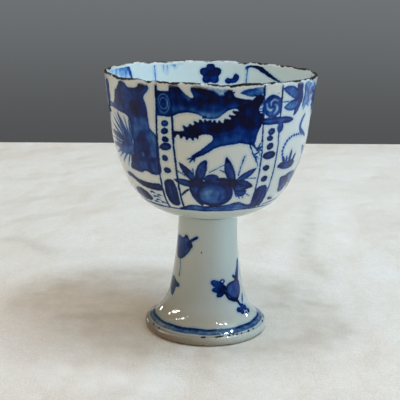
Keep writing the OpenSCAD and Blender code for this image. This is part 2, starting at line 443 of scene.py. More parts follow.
def beast_panel(c):
    """Front panel: a cloud under the rim, a shaggy running beast, and a fruit between leaves."""
    # Cloud that hangs from the rim
    c.patch([(-4.8, 1.2), (-1, 1.4), (2.8, 1.5), (3.4, 3.2), (2.2, 5), (.2, 4.8), (-1.8, 3.6),
             (-4.4, 2.6)], .3)
    c.patch([(-19.8, .9), (-17.4, .8), (-15.8, 1.6), (-14.4, 3.2), (-12.4, 5), (-10.2, 6.4), (-9.9, 5),
             (-10.9, 3), (-10.4, 1.3), (-8, .9), (-5.6, 1.2), (-4.6, 2.2), (-2.6, 2.7), (-.8, 3.4), (.6, 4.5),
             (2, 4.7), (3.1, 3.4), (3.7, 2.1), (4.6, 1.7), (5.5, 2.4), (6.2, 4.1), (7.4, 5.5), (10.6, 6.4),
             (14.6, 6.9), (16.4, 8.2), (12, 9.2), (9.4, 10), (6.5, 10.3), (4.4, 10.9), (2.4, 12.3),
             (.6, 13.8), (-1.2, 14.4), (-3.4, 14.5), (-5.2, 14), (-7.2, 13), (-9.6, 12.3), (-12, 12.2),
             (-15, 12.6), (-19.6, 13.4)], .86)
    c.patch([(-8.4, 11.6), (-4, 12), (0, 11.6), (3.4, 10.6), (1, 13.4), (-1.2, 14.3), (-3.4, 14.4),
             (-5.2, 13.9), (-7.4, 12.9)], .56, soft=1.8)
    c.stroke([(-19, 11, .9), (-14, 10.9, .8), (-9, 10.8, .6)], .74, soft=1.8)
    c.stroke([(-19, 7, 1.5), (-12, 7.8, 1.6), (-4, 7.2, 1.8), (4, 7, 1.5), (12, 7.6, .8)], .94, soft=2)
    c.stroke([(-19, 2, 1), (-17.4, 3.4, 1.2), (-15, 5, .8)], .96, soft=1.5)
    c.stroke([(-9.4, 2.4, .9), (-6, 3, 1.4), (-2, 4.8, 1)], .96, soft=1.5)
    c.stroke([(2.6, 5.2, .6), (4.5, 3, .9), (6, 5.4, .7)], .97, soft=1.2)
    c.stroke([(-13.6, 4.6, .4), (-11.4, 6.4, .6)], .66, soft=1.2)
    c.hairs([(1.4, 4.6), (3, 3.2), (4.6, 2), (6, 3.4)], .6, -90, 1.1, .5, .96)
    c.patch([(8.6, 3.8), (10.6, 2.6), (13.6, 2), (17, 1.5), (19.2, 1.6), (19, 3.6), (17.6, 5), (14.4, 5.6),
             (11.2, 5)], .4)
    c.stroke([(9.8, 3.9, .5), (13, 3.1, .6), (16.6, 2.5, .5)], .62, soft=1)
    c.stroke([(12, 4.8, .3), (15.2, 4.3, .4), (18, 3.4, .3)], .58, soft=.8)
    c.stroke([(-5.6, 13.8, .5), (-4.8, 13.7, .5)], .97)
    # Beast: body with a paler belly, dark back and tail, and a black mane
    c.patch([(-18.2, 20.1), (-15, 19.9), (-12.6, 19.2), (-12.2, 18), (-10, 17.2), (-8, 16.3), (-4, 15.8),
             (0, 16), (3, 15.8), (5.2, 14.6), (7, 12.8), (8.4, 11.2), (10.2, 9.4), (12.4, 8.4), (15, 6.9),
             (16, 5.3), (18, 4.6), (19, 5.6), (18.8, 7.8), (17.5, 9.6), (17, 11.6), (18.6, 13), (19.2, 15),
             (18.6, 17.2), (17.4, 19.6), (16.6, 21.8), (16, 24.4), (14.4, 25.4), (12, 25), (9.4, 24.5),
             (6, 25), (2.6, 25.5), (0, 26.4), (-1.6, 26.8), (-2.6, 25.4), (-1.8, 23.4), (-1.9, 21.4),
             (-4.2, 20.8), (-6.4, 21.2), (-8.2, 22), (-10.4, 22.6), (-13, 22.2), (-15.4, 21.4)], .88)
    c.patch([(-2, 23.4), (2, 22), (7, 21), (11, 19.6), (15, 20), (16.4, 22), (15.8, 24.2), (14, 25),
             (9.6, 24.4), (6, 24.8), (2.6, 25.3), (-.6, 26.4), (-2, 25.8)], .82, soft=2.4)
    c.stroke([(-17, 20.5, .4), (-13, 20.7, 1), (-9, 19.4, 1.7), (-4, 18.4, 1.9), (1, 18.2, 2), (5, 17, 2),
              (8, 14.6, 2)], .98, soft=1)
    c.patch([(9.4, 11.2), (12, 9), (15, 7.3), (16.2, 5.8), (18, 5.1), (18.6, 7.4), (17.2, 9.6), (17, 11.4),
             (18.6, 13.4), (18.8, 16), (17, 18.4), (14, 18.6), (10.6, 17.6), (8.4, 15.4)], 1.0, soft=1.6)
    for x in (11.6, 12.8, 14.1, 15.3, 16.6):
        c.stroke([(x, 9.6, .16), (x + .5, 13, .22), (x + .3, 17, .14)], .9, soft=.6)
    c.hairs([(-12.4, 18.9), (-10, 17.6), (-7, 16.4), (-3, 16.1), (1, 16.3), (3.6, 15.8)], 1.1, -108, 1.7, .85,
            tip=.5)
    c.hairs([(4.2, 15.4), (6.6, 13.4), (8.6, 11.2), (10.6, 9.3)], 1.5, -112, 1.7, .95, tip=.4)
    c.hairs([(-16.8, 21), (-14, 21.8), (-11, 22.4), (-8, 21.8)], .9, 80, 1.8, .85, tip=.5)
    c.hairs([(17.6, 9), (16.9, 11), (17.2, 12.8)], 1.7, -88, .85, .26)
    c.hairs([(10.6, 9.4), (13, 8.2), (15, 7), (16.2, 5.6)], 1.5, -95, .9, .6, 1.0)
    # Hind leg and thin fore legs
    c.stroke([(-1, 24.8, 1.6), (-2.8, 26.2, 1.5), (-5.2, 28, 1.3), (-7.2, 29.2, 1.1), (-9, 30.2, .9)], .86)
    for tip in ((-11.5, 31.6), (-10.6, 32.8), (-8.8, 32.4)):
        c.stroke([(-8.6, 30.3, .6), (*tip, .25)], .84)
    c.stroke([(13.6, 25, .5), (14.6, 27.4, .36), (15.4, 29.6, .34), (16.8, 32, .32), (18, 34.8, .3)], .86)
    c.stroke([(15, 24.8, .7), (15.8, 26.2, .5), (17, 27.6, .45)], .86)
    for foot, tip in (((17, 27.4), (18.2, 25.2)), ((17, 27.4), (19.6, 26.6)), ((17, 27.6), (19.8, 28.8)),
                      ((16.8, 27.6), (18.6, 30.4)), ((15.8, 30), (17.6, 28.8)), ((16, 30.4), (18.2, 31.6)),
                      ((16, 30.6), (17.2, 33))):
        bend_x, bend_v = (foot[0] + tip[0]) / 2 + .3, (foot[1] + tip[1]) / 2 - .2
        c.stroke([(*foot, .38), (bend_x, bend_v, .34), (*tip, .24)], .86)
    # Fruit: a dark ring about a paler cheek, a husk to the left and a cap
    c.stroke([(-9.8, 41.6, .5), (-10, 44.6, .6), (-8.6, 48.4, .7), (-6.4, 51.8, .7), (-4.6, 54, .6)], .84)
    c.patch([(-9.6, 43), (-6.4, 41), (-4.6, 41.6), (-5.6, 46), (-6.2, 50.8), (-8.4, 48)], .8)
    c.spot(.2, 47.4, 7.5, 7.4, 0, .92)
    c.patch([(-4.8, 40.6), (-4, 38.9), (-1.8, 37.8), (.6, 38.4), (2, 40), (4.6, 40.2), (6.4, 42), (3, 42),
             (-2, 41.8)], .84)
    c.stroke([(.4, 40.4, .5), (3, 39.9, .5), (5.4, 41, .6), (7, 43.6, .6)], .97)
    c.spot(-.5, 48, 5.3, 5, 0, .76, soft=1.2)
    c.spot(-1.6, 48.2, 3.6, 3.2, 10, .6, soft=2.4)
    c.stroke([(1, 45, .35), (2.6, 47.4, .4), (2, 50.6, .35)], .84, soft=1)
    # Leaves to the left of the fruit
    c.leaf((-7.6, 42.4), (-14.9, 33.4), 3.2, .76, .05, .86)
    c.patch([(-7.6, 42.4), (-8.2, 38), (-7.4, 34.4), (-5.6, 32.2), (-3.8, 31.6), (-3.4, 34), (-4, 38),
             (-5.4, 41.8)], .77, .85)
    c.leaf((-7.4, 43.2), (-16.8, 41.4), 3.5, .76, -.1, .86)
    c.patch([(-10.4, 41), (-8, 39.6), (-5.6, 40.4), (-4.2, 42), (-7, 44), (-9.8, 43.6)], .92, soft=1.2)
    c.stroke([(-11, 46, .6), (-12.2, 47.2, .55), (-13.2, 48.8, .5)], .86)
    c.stroke([(-9.3, 35.6, .3), (-8.7, 39.4, .34)], .74)
    c.stroke([(-16, 36.8, .3), (-12, 39.4, .32)], .74)
    c.stroke([(-12.6, 43.6, .3), (-10.6, 44.2, .34)], .76)
    # Leaves to the right of the fruit
    c.leaf((8, 42.4), (4.2, 30.4), 4, .8, -.12, .9)
    c.stroke([(4.2, 30.8, .5), (4.6, 32.4, .5)], .96, soft=.8)
    c.leaf((8.6, 41.4), (17.2, 35.8), 2.9, .76, .06, .86)
    c.patch([(7.2, 41), (9.4, 40.6), (12.4, 41.1), (15, 42.6), (16.4, 44.6), (14.4, 45.4), (12, 46.4),
             (9, 46.6), (7.4, 44.6)], .78, .88)
    c.patch([(8, 46), (10.6, 46), (13.6, 46.3), (13, 48.4), (11.4, 49.4), (9.6, 48.8)], .8, .88)
    c.stroke([(8.6, 42, .6), (11, 43.4, .4), (13.6, 44.2, .3)], .95, soft=1)
    c.spot(7.6, 42.4, 1.9, 2.2, 0, .97)
    c.stroke([(9.4, 38.8, .3), (10.2, 35, .3), (11.8, 30, .28)], .74)
    c.stroke([(9.6, 40.3, .3), (13, 40.2, .3), (17.4, 40.6, .26)], .72)
    c.stroke([(1.8, 36, .32), (4, 37.2, .36), (5.8, 39.6, .42)], .86)
    c.stroke([(-2.6, 37.2, .26), (1, 35, .26), (4.6, 33, .26)], .66)
    c.stroke([(12.6, 47.6, .26), (15.2, 49.4, .26)], .72)
    for x, v in ((8.6, 47.4), (10, 48.4), (11.6, 48.2)):
        c.stroke([(x, v, .4), (x + .7, v + 2.2, .2)], .84)
    # Ground
    c.patch([(-12.8, 57.9), (-11, 55.6), (-8.6, 54.8), (-4, 55.4), (2, 55.2), (6, 54.2), (10.6, 53.2),
             (14, 54.8), (16.4, 55.8), (16.4, 58.2)], .64)
    c.stroke([(-13.2, 57.8, 1), (-11.6, 56.2, .6), (-9.6, 54.8, .45), (-7.6, 54.5, .4), (-4.6, 55.2, .5),
              (1, 55, .5), (5, 54.2, .4), (8.6, 53.2, .4), (11, 53, .42), (13.6, 54.6, .42),
              (16.6, 55.4, .4)], .93)
    c.stroke([(-6, 56.6, .3), (0, 56.8, .3), (7, 56, .3), (13, 56.6, .3)], .82, soft=.8)


def rock_panel(c):
    """Left panel: a tall pierced rock under a cloud, a fan of grass beside it, and a log and stones."""
    # The whole scene stands a little along x and lower than its own numbers
    c.x, c.v = c.x - .6, c.v - .7
    # Fan of grass: a wash with dark blades that fall to the side, and blades that stand up on bare glaze
    c.patch([(-8, 24.6), (-2, 25), (4, 26.4), (7, 28), (5.4, 31), (2, 32.6), (-3, 32.6), (-7, 31.8),
             (-9, 28)], .6)
    for tip, w, tone in (((-12.4, 20.2), 1.2, .6), ((-10, 17.2), 1.5, .62), ((-7.4, 15.8), .9, .55),
                         ((-4.4, 15), 2.8, .74), ((1.4, 15.8), 1.1, .58), ((4.8, 17), 1.7, .66),
                         ((-14, 24.2), 3.4, .82), ((-14.4, 27.2), .9, .7), ((-14.4, 30.4), 3.4, .8),
                         ((-11.4, 34), 1.5, .7), ((-9.6, 35.8), 1.1, .62), ((-6, 37.4), 1.1, .6),
                         ((-1.6, 38.2), .9, .6)):
        c.leaf((5.6, 28.4), tip, w, tone, .05)
    c.stroke([(-2, 27.3, .1), (-8, 26.6, .3), (-14, 26, .4)], bare=True)
    c.stroke([(-3, 28.6, .1), (-9, 28.5, .3), (-14, 28.3, .4)], bare=True)
    # Cloud and rock
    c.patch([(-16.4, 3.4), (-14, 1.6), (-11.6, 2.2), (-10.4, 4.4), (-11.4, 6.6), (-10.6, 9), (-11.8, 12),
             (-16, 12.4), (-16.8, 8)], .62)
    c.stroke([(-15, 4, .7), (-13.2, 6.4, .9), (-14.4, 9.6, .8)], .8, soft=1.6)
    c.patch([(-16, 12), (-12, 11.2), (-7.4, 11.6), (-5, 9), (-3.4, 5), (4, 8), (2, 14.4), (-4, 14.1),
             (-9, 13.6), (-14, 14.2), (-16.4, 13.8)], .68)
    c.patch([(-2.4, 4.8), (-1, 3.2), (1, .7), (4.2, .8), (6.6, 3), (9, 3.2), (12, 2.8), (13, 1.4), (15, .5),
             (17.8, .5), (18.4, 2.8), (16.6, 4.8), (15.4, 7), (16.4, 10), (16.8, 15), (17, 19.2),
             (19.2, 21.6), (20.4, 25), (20, 29), (19.4, 33), (18.6, 38.4), (14, 39.9), (10.6, 38.7),
             (7, 39.9), (3.4, 39.4), (.4, 38.6), (3.4, 33.6), (5.6, 30.6), (6.4, 27), (6, 22), (5.8, 18.4),
             (4, 15.6), (0, 14.6), (-4, 14), (-5.2, 11), (-4.6, 7.6)], .84)
    c.stroke([(-3.4, 7.4, .9), (0, 7.2, 1.4), (4, 7.4, 1.6)], .86, soft=2)
    c.stroke([(-13, 12.8, .5), (-6, 12.6, .7), (3, 13.4, .8)], .8, soft=1.4)
    c.patch([(7.4, 17), (11, 15.4), (15.6, 15.8), (16.4, 19.4), (13, 20.4), (9.4, 24), (7.8, 25), (7.4, 21)],
            .66, soft=1.8)
    c.patch([(15.6, 21.4), (18.6, 22.2), (19.8, 25.6), (19.2, 31), (16.4, 32), (15, 27)], .66, soft=1.6)
    c.patch([(7.4, 9.6), (11.4, 8.2), (15, 9.6), (15.8, 14), (12, 15), (8, 14)], .93, soft=2)
    c.patch([(9.2, 25), (11.6, 21.2), (14.2, 22), (15, 27), (14.4, 31.4), (12, 33.2), (9.4, 32.6),
             (10.6, 28.4)], .93, soft=1.4)
    c.stroke([(13, 3, .9), (15.8, 2.2, 1.1)], .94, soft=1)
    c.stroke([(.6, 2.4, .6), (3, 2.8, .8)], .9, soft=1)
    c.spot(11.4, 31, .7, 1, 0, .6)
    c.stroke([(6.4, 27.4, .4), (4.4, 31, .6), (2.4, 35.4, .6)], .62, soft=1)
    c.stroke([(3.6, 34.8, .7), (9, 33.6, .9), (14, 33.2, .9), (19.2, 31.8, .6)], .93, soft=.8)
    c.stroke([(7.6, 34.6, .6), (7.4, 38.6, .5)], .9, soft=.8)
    c.stroke([(13.4, 34.2, .7), (13.4, 38.8, .6)], .92, soft=.8)
    c.patch([(14.8, 35.2), (18.4, 34.4), (17.8, 38), (15, 38.8)], .7, soft=1.2)
    c.patch([(8.6, 35.2), (12, 34.8), (12, 38), (9, 38)], .74, soft=1.2)
    # Log and stones
    c.patch([(-6.6, 42.4), (-4, 41.6), (-1, 41.8), (2, 43.4), (7, 44.2), (12, 44.2), (15.6, 44), (15.6, 47.2),
             (11, 47.8), (5, 47.2), (1, 45.6), (-2.6, 44), (-5.4, 43.8)], .88, .93)
    c.patch([(-4, 50.4), (-1, 48.6), (3, 48.6), (6, 50.4), (6.8, 53), (4, 55), (-1, 55),
             (-4.4, 53)], .88, .92)
    for x, v, length in ((7.8, 49.4, 2.4), (11.4, 50.4, 2.2), (8.4, 51.6, 3.4), (8.8, 53.4, 2.6),
                         (6.6, 55, 3), (11, 54.6, 1.8)):
        c.stroke([(x, v, .4), (x + length / 2, v - .4, .45), (x + length, v + .1, .3)], .8)
    c.stroke([(-12, 56.4, .4), (-4, 56.2, .5), (6, 56.8, .4), (11, 57.1, .4)], .8)


def spray_panel(c):
    """Right panel: a flower spray from the upper corner, a beaded garland, a tuft of leaves and a rock."""
    c.patch([(-5.8, 2.2), (-3, .9), (.4, 1.8), (3, .8), (6, 2.4), (8.4, 3), (6.4, 6), (4.4, 8.6), (1.6, 12.4),
             (-1.4, 11.2), (-3.6, 13.2), (-5.4, 10.4), (-4.8, 6)], .4)
    c.stroke([(-4, 4, .9), (-1, 6, 1), (1, 9.4, .8)], .64, soft=1.6)
    c.leaf((-7, 7.8), (-19.6, 2.4), 4.6, .58, .1, .74)
    c.leaf((-7.2, 9), (-17.4, 10.8), 4.6, .56, -.14, .76)
    c.patch([(-11.4, 1.4), (-7.4, 1.2), (-6.6, 4), (-5.6, 7), (-6.4, 10), (-9.4, 9), (-10.2, 5)], .8)
    c.stroke([(-8, 2, .7), (-8, 5, .8), (-7.6, 8.4, .7)], .9, soft=1.4)
    c.leaf((-7, 9), (-10.8, 14.6), 2.8, .82, .1)
    c.stroke([(-4.6, 2.4, .5), (-4.2, 7, .6), (-4.8, 11, .5)], .8, soft=1)
    c.spot(3, 5.6, 2.1, 1.9, 0, .8)
    # Open flower on a stalk with leaves, and a wisp of cloud beside it
    x, v, petals = 10.4, 9.6, 11
    for k in range(petals):
        a = math.radians(20 + 360 / petals * k)
        base = (x + 1.2 * math.cos(a), v + 1.2 * math.sin(a))
        c.leaf(base, (x + 6.4 * math.cos(a), v + 5.8 * math.sin(a)), 2.9, .5 + .14 * (k % 2), .06, .8)
    c.spot(x, v, 2, 1.8, 0, .93, soft=1.2)
    c.stroke([(10.2, 15.4, .5), (11, 21, .55), (10.6, 28, .6), (8.4, 35, .6), (4.4, 41, .6)], .84)
    for base, tip, w in (((11, 21), (17, 16.6), 2.8), ((10.8, 25.6), (17.4, 25), 3),
                         ((10, 31), (16.6, 33.4), 3.2), ((8.6, 34.6), (3, 29.6), 2.8),
                         ((7, 37.4), (13.6, 41), 2.8)):
        c.leaf(base, tip, w, .7, .08, .86)
    c.patch([(15, 1), (19.8, .8), (20.4, 5), (18.4, 7.4), (16.6, 5.4), (15.4, 3.4)], .74)
    c.stroke([(-19.4, 8.4, .26), (-15, 8.5, .32), (-11, 8, .34)], .72)
    # Garland of beads, and a tuft of leaves under it
    c.stroke([(-1, 15.6, .6), (-2.8, 17.4, .9), (-3.8, 19.6, 1), (-3, 21.8, 1), (0, 23.2, .8),
              (3.4, 25.2, .6)], .72)
    for x, v in ((-.6, 23.9), (-2.4, 23.6), (-4.2, 23.4), (-6, 23.4), (-7.8, 23.5), (-9.6, 23.8),
                 (-11.1, 24.4), (-12.3, 25.3), (-13.2, 26.6), (-13.8, 28), (-14.1, 29.5), (-13.6, 31)):
        c.spot(x, v, .74, .66, 30, .78)
    c.patch([(-14.2, 35.8), (-12.4, 34.6), (-10, 35), (-7, 34.4), (-4, 34.8), (-1.8, 36), (-3, 38),
             (-6.4, 38.6), (-10, 38.2), (-13, 37.2)], .76)
    c.spot(-13.4, 36.2, 1.1, .9, 20, .95)
    for base, tip, w, tone in (((-7.2, 36), (-7.6, 29.6), 2, .82), ((-5, 36.4), (-3.2, 32), 2, .86),
                               ((-10, 36), (-13.4, 31.6), 1.8, .7), ((-8.6, 36), (-10.4, 31.8), 1.4, .66)):
        c.leaf(base, tip, w, tone, .06)
    # Rocks, pebbles and ground
    c.patch([(-3, 41.8), (2, 42.4), (8, 43.6), (13, 46), (9, 47.4), (3, 47), (-1.6, 45.6)], .52)
    c.patch([(-9.2, 42.4), (-6, 41.8), (-3.4, 41.6), (-1.6, 44), (.4, 47.6), (-1.6, 50.2), (-5, 50.4),
             (-7.4, 47)], .86, .93)
    c.stroke([(-4, 41.6, .5), (0, 41.4, .7), (3.6, 42.2, .7)], .8)
    c.patch([(1.4, 43), (4.4, 41.6), (7.6, 43.4), (9.4, 46.6), (8.6, 50), (5, 51), (2.4, 48.6)], .8, .9)
    c.stroke([(4.4, 43.6, .5), (5.6, 46.4, .5), (5, 49.2, .4)], .92, soft=1)
    for x, v in ((11.6, 46), (12.8, 48.6), (11, 51)):
        c.spot(x, v, 1, .8, 20, .88)
    c.patch([(.6, 57.4), (3.4, 55), (7, 53.8), (10, 54.6), (13.4, 57.2)], .76, .88)
    c.stroke([(-10.2, 52.4, .5), (-8.8, 53.2, .7), (-7, 53.6, .6)], .92)
    c.stroke([(-10, 56.4, .4), (-2, 55.6, .5), (6, 55.8, .5), (11, 56.6, .4)], .8)


def divider(c, half_w, knot):
    """A narrow strip between two border lines: an ornament under the rim, a string of beads, and a long
    oval. The ornament is a whirl over a ribbon where there is a knot, and else a plate with two rings. x is
    measured from the strip's middle, and half_w is a table of depths and half widths."""
    v = np.linspace(.8, RING_LINE - .1, 24)
    for side in (-1, 1):
        wander = 0.05 * np.cumsum(chance.normal(size=len(v)))
        width = np.interp(v, (4, 18, 40), (.46, .36, .32)) * (1 if knot else 1.3)
        c.stroke(np.column_stack([side * np.interp(v, *half_w) + wander, v, width]), .95)
    if knot:
        c.spot(0, 9.8, 4.8, 4.8, 0, .78)
        c.spot(.6, 12, 2.6, 1.6, 0, .66, soft=1.4)
        for arm in (20, 140, 260):
            whirl = [(r * math.cos(math.radians(arm + d)), 9.8 + r * math.sin(math.radians(arm + d)), w)
                     for r, d, w in ((1, -60, .16), (1.9, -20, .38), (2.7, 20, .36), (3.2, 60, .16))]
            c.stroke(whirl, .12)
        c.patch([(-4.6, 14.8), (0, 14.5), (5, 14.4), (10, 15), (12.6, 16.4), (9, 17.5), (3, 17.5),
                 (-4.4, 17.2)], .74, .86)
        c.spot(4.6, 19, 1.7, 2.3, 20, .76)
        beads = ((.1, 20.4, 1.8, 1.45), (-.6, 23.2, 1.6, 1.25), (-.3, 26.6, 1.85, 1.45),
                 (-.2, 30.5, 3.2, 1.85), (-.7, 36.2, 1.75, 1.4), (-.5, 41.4, 1.75, 1.45))
        oval = (-.3, 51, 6.6, 3.4)
    else:
        c.patch([(-3.1, 4.2), (0, 3.8), (3.1, 4.2), (3, 9), (3, 14), (0, 14.2), (-3, 14), (-3, 9)], .93)
        for a, b in ((2.7, 4.2), (1.9, 2.6)):
            c.spot(0, 9, a, b, 0, .55, soft=.4)
            c.spot(0, 9, a - .4, b - .5, 0, .94, soft=.4)
        beads = ((.1, 17.2, 1.65, 1.35), (0, 20.4, 1.75, 1.35), (.1, 23.8, 1.65, 1.3), (0, 26.9, 2.7, 1.65),
                 (-.6, 31.9, 1.4, 1.4), (-.1, 37.4, 1.75, 1.45))
        oval = (0, 48.6, 7.3, 2.8)
    for x, y, a, b in beads:
        c.spot(x, y, a, b, chance.uniform(-22, 8), .92)
        c.spot(x - .2, y + .1, .6 * a, .5 * b, 0, .84, soft=.8)
    x, y, a, b = oval
    outline = ((-.8, -.8), (0, -.98), (.7, -.86), (1, -.3), (1.02, .4), (.8, .86), (.1, 1), (-.6, .84),
               (-1, .3), (-1.04, -.4))
    c.patch([(x + side * b, y + down * a) for side, down in outline], .88)
    for off, tone in ((-.55, .95), (-.15, .84), (.2, .95), (.6, .85)):
        streak = ((off, -.7, .25), (off + .05, 0, .4), (off, .75, .25))
        c.stroke([(x + side * b, y + down * a, half) for side, down, half in streak], tone, soft=.8)


def blossom(c, x, v, size):
    """A five-petal flower with a dark heart."""
    for k in range(5):
        turn = -90 + 72 * k
        a = math.radians(turn)
        petal_x, petal_v = x + .6 * size * math.cos(a), v + .6 * size * math.sin(a)
        c.spot(petal_x, petal_v, .48 * size, .43 * size, turn, .89)
    c.spot(x, v, .42 * size, .42 * size, 0, .97, soft=1.8)


def inside_blossom(c):
    """One sixth of the bowl's inside: a blossom, a few buds and faint streaks under the rim."""
    for points in ([(-18.6, .8, .5), (-18.2, 2.6, .4), (-18, 4.6, .2)],
                   [(-16.4, .8, .6), (-16.2, 3, .4), (-16.4, 6, .2)],
                   [(-13.6, .9, 1), (-12.6, 1.8, .8), (-11.8, 3.4, .3)],
                   [(-10.6, .8, .6), (-9, 1.2, .4)]):
        c.stroke(points, .2)
    blossom(c, 5.3, 6.4, 5.1)
    c.spot(14, 9.8, 1.9, 1.5, 0, .86)
    c.spot(16.6, 9.4, 1.6, 1.3, 0, .84)
    c.spot(17.8, 7.8, 1.5, 2, 0, .88)


def inside_ribbon(c):
    """One sixth of the bowl's inside: a broad ribbon that falls away from the rim."""
    c.patch([(-24.4, 3.4), (-23.4, 1.2), (-20, .9), (-16.6, 1.1), (-13.6, 3), (-9, 5.4), (-4, 7.6), (1, 9),
             (-4, 8.6), (-10, 6.8), (-15, 4.6), (-19, 2.9), (-22.4, 2.6)], .94)


def inside_wash(c):
    """One sixth of the bowl's inside: the ribbon, a pale wash under the rim and a short stroke."""
    c.patch([(-16, .8), (-5, .8), (6, .8), (7, 3.6), (8.2, 7), (8, 11), (-2, 11), (-10, 8), (-16, 4)], .15,
            soft=1.5)
    c.patch([(-6.6, 1), (-2, .8), (3, 1), (6.6, 1.2), (5.4, 3.4), (4, 5.4), (3.2, 3.2), (0, 3), (-2.4, 5.6),
             (-4.4, 3)], .32)
    inside_ribbon(c)
    c.stroke([(6.4, .8, .8), (7.2, 3.4, .95), (8.2, 6.6, .8)], .74)


def stem_sprigs(c):
    """Round the stem: a flower on a thin stalk with a leaf, and a branch with a fruit, leaves and blossom."""
    # Flower
    c.patch([(-18.4, 10.4), (-16, 9.4), (-13, 9.8), (-11, 8.6), (-9.6, 8.4), (-8.8, 9.6), (-7.6, 10.8),
             (-6.8, 12.4), (-7.6, 14.2), (-9.6, 16.6), (-12, 18.8), (-15, 19.8), (-17.6, 19), (-18.8, 15)],
            .72, .84)
    c.stroke([(-15.6, 17, 1.6), (-12, 14.4, 2), (-9.6, 12.6, 1.6)], .82, soft=2)
    c.stroke([(-8.4, 10.8, .6), (-6.6, 9.6, .7), (-5, 8.6, .8)], .88)
    c.spot(-8.6, 12.2, 1.6, 1.5, 30, .97)
    c.spot(-10.4, 9, 1.1, 1, 0, .93)
    c.stroke([(-14.4, 19.6, .3), (-14, 23.4, .28), (-14.4, 27.4, .26)], .6)
    c.patch([(-22, 30), (-19, 28.8), (-17, 30), (-15.4, 30.6), (-13.8, 31.2), (-14.4, 32.6), (-16.4, 33),
             (-17.4, 35), (-19, 37.4), (-21.6, 36.6), (-22.6, 33.4)], .88, .93)
    # Branch
    c.stroke([(17.8, 21.2, 1.1), (17.2, 24.4, 1.4), (16.4, 27, 1.6), (15.8, 29.4, 1.6)], .74)
    c.stroke([(16.6, 27.6, .9), (15.8, 30, 1)], .88, soft=1)
    c.stroke([(13.4, 26.8, .6), (15.4, 28.4, .8)], .86)
    c.patch([(9.4, 30.4), (11.4, 29.2), (14, 29), (16.6, 28.6), (18.4, 30.4), (19.2, 33), (18.6, 36),
             (16.8, 37.8), (14, 37.4), (11.4, 36), (9.4, 33.6)], .72, .88, .5)
    for x, v, a, b, turn in ((4.6, 29.2, 3.2, 1.6, 26), (5.2, 31.8, 2.9, 1.4, 4), (6.8, 33.6, 2.5, 1.4, -28)):
        c.spot(x, v, a, b, turn, .8)
        c.stroke([(x - .6 * a, v - .2 * b, .3), (x + .7 * a, v + .1 * b, .4)], .93, soft=1)
    c.spot(7.4, 31.2, 2.4, 1.7, 25, .92)
    c.spot(7.2, 28.4, 1.3, 1.2, 0, .88)
    c.spot(7.2, 28.2, .55, .45, 0, bare=True)
    c.stroke([(8.4, 33, .6), (10.6, 36.2, .6), (13.4, 37.6, .7), (16, 38.4, .7), (17.6, 40.2, .7),
              (19.4, 41.8, .6)], .97)
    c.stroke([(16, 38.2, .8), (16.6, 36.6, .7)], .95)
    for x, v, a, b, tone in ((16.8, 42.6, 1.6, 1.2, .8), (19.6, 41.8, 1.8, 1.3, .78),
                             (19.2, 44, 1.7, 1.1, .8), (22, 43, 1.8, 1.2, .76), (21, 38.4, .9, 2, .72),
                             (22.2, 45.6, 1.2, .9, .86), (24.8, 45, 1.4, 1, .82)):
        c.spot(x, v, a, b, 25, tone)
    # Two more sprigs behind, out of the front view
    for x0 in (36, -36):
        c.leaf((x0, 34), (x0 - 5, 27), 2.6, .84, .1, .93)
        c.leaf((x0, 34), (x0 + 1.5, 25), 2.8, .84, -.08, .93)
        c.leaf((x0, 34), (x0 + 6, 30), 2.4, .84, .1, .93)
        c.stroke([(x0, 34, .5), (x0 + .6, 38, .45), (x0 - .4, 42, .4)], .92)


# Finishes

class Value:
    """An output socket in a material. Arithmetic on it adds Math nodes, and node() adds any kind of node."""

    def __init__(self, tree, socket=None):
        self.tree, self.socket = tree, socket

    def node(self, kind, settings=None, inputs=None, output=0):
        """Add a node: its settings first, then the values or links of its sockets. Gives the asked output."""
        node = self.tree.nodes.new(kind)
        for key, value in (settings or {}).items():
            if key == "stops":
                ramp = node.color_ramp.elements
                while len(ramp) < len(value):
                    ramp.new(1.0)
                for stop, (place, colour) in zip(ramp, value):
                    stop.position, stop.color = place, (*colour, 1)
            else:
                setattr(node, key, value)
        for key, value in (inputs or {}).items():
            if isinstance(value, Value):
                self.tree.links.new(value.socket, node.inputs[key])
            else:
                node.inputs[key].default_value = value
        return None if output is None else Value(self.tree, node.outputs[output])

    def math(self, operation, first, second=0.0):
        return self.node("ShaderNodeMath", {"operation": operation}, {0: first, 1: second})

    def __add__(self, other):
        return self.math("ADD", self, other)

    def __sub__(self, other):
        return self.math("SUBTRACT", self, other)

    def __rsub__(self, other):
        return self.math("SUBTRACT", other, self)

    def __mul__(self, other):
        return self.math("MULTIPLY", self, other)

    def __abs__(self):
        return self.math("ABSOLUTE", self)

    __radd__, __rmul__ = __add__, __mul__

    def most(self, other):
        return self.math("MAXIMUM", self, other)

    def rise(self, low, high):
        """0 at low, 1 at high, and a smooth step between."""
        return self.node("ShaderNodeMapRange", {"interpolation_type": "SMOOTHSTEP"},
                         {"Value": self, "From Min": low, "From Max": high})

    def noise(self, scale, detail=2.0, roughness=0.5):
        """Cloudy noise, about 0.5, with features of 1 / scale of a metre."""
        return self.node("ShaderNodeTexNoise", {},
                         {"Vector": self, "Scale": scale, "Detail": detail, "Roughness": roughness})

    def attribute(self, name):
        """A value that the points of the mesh carry."""
        return self.node("ShaderNodeAttribute", {"attribute_name": name}, output="Fac")

    def axis(self, count):
        """One axis of this place."""
        return self.node("ShaderNodeSeparateXYZ", {}, {0: self}, count)

    def stretched(self, *scale):
        """This place with each axis scaled."""
        return self.node("ShaderNodeVectorMath", {"operation": "MULTIPLY"}, {0: self, 1: scale})

    def over(self, under, colour, how="MIX"):
        """A colour over another, by this value."""
        return self.node("ShaderNodeMix", {"data_type": "RGBA", "blend_type": how},
                         {0: self, 6: under, 7: colour}, 2)


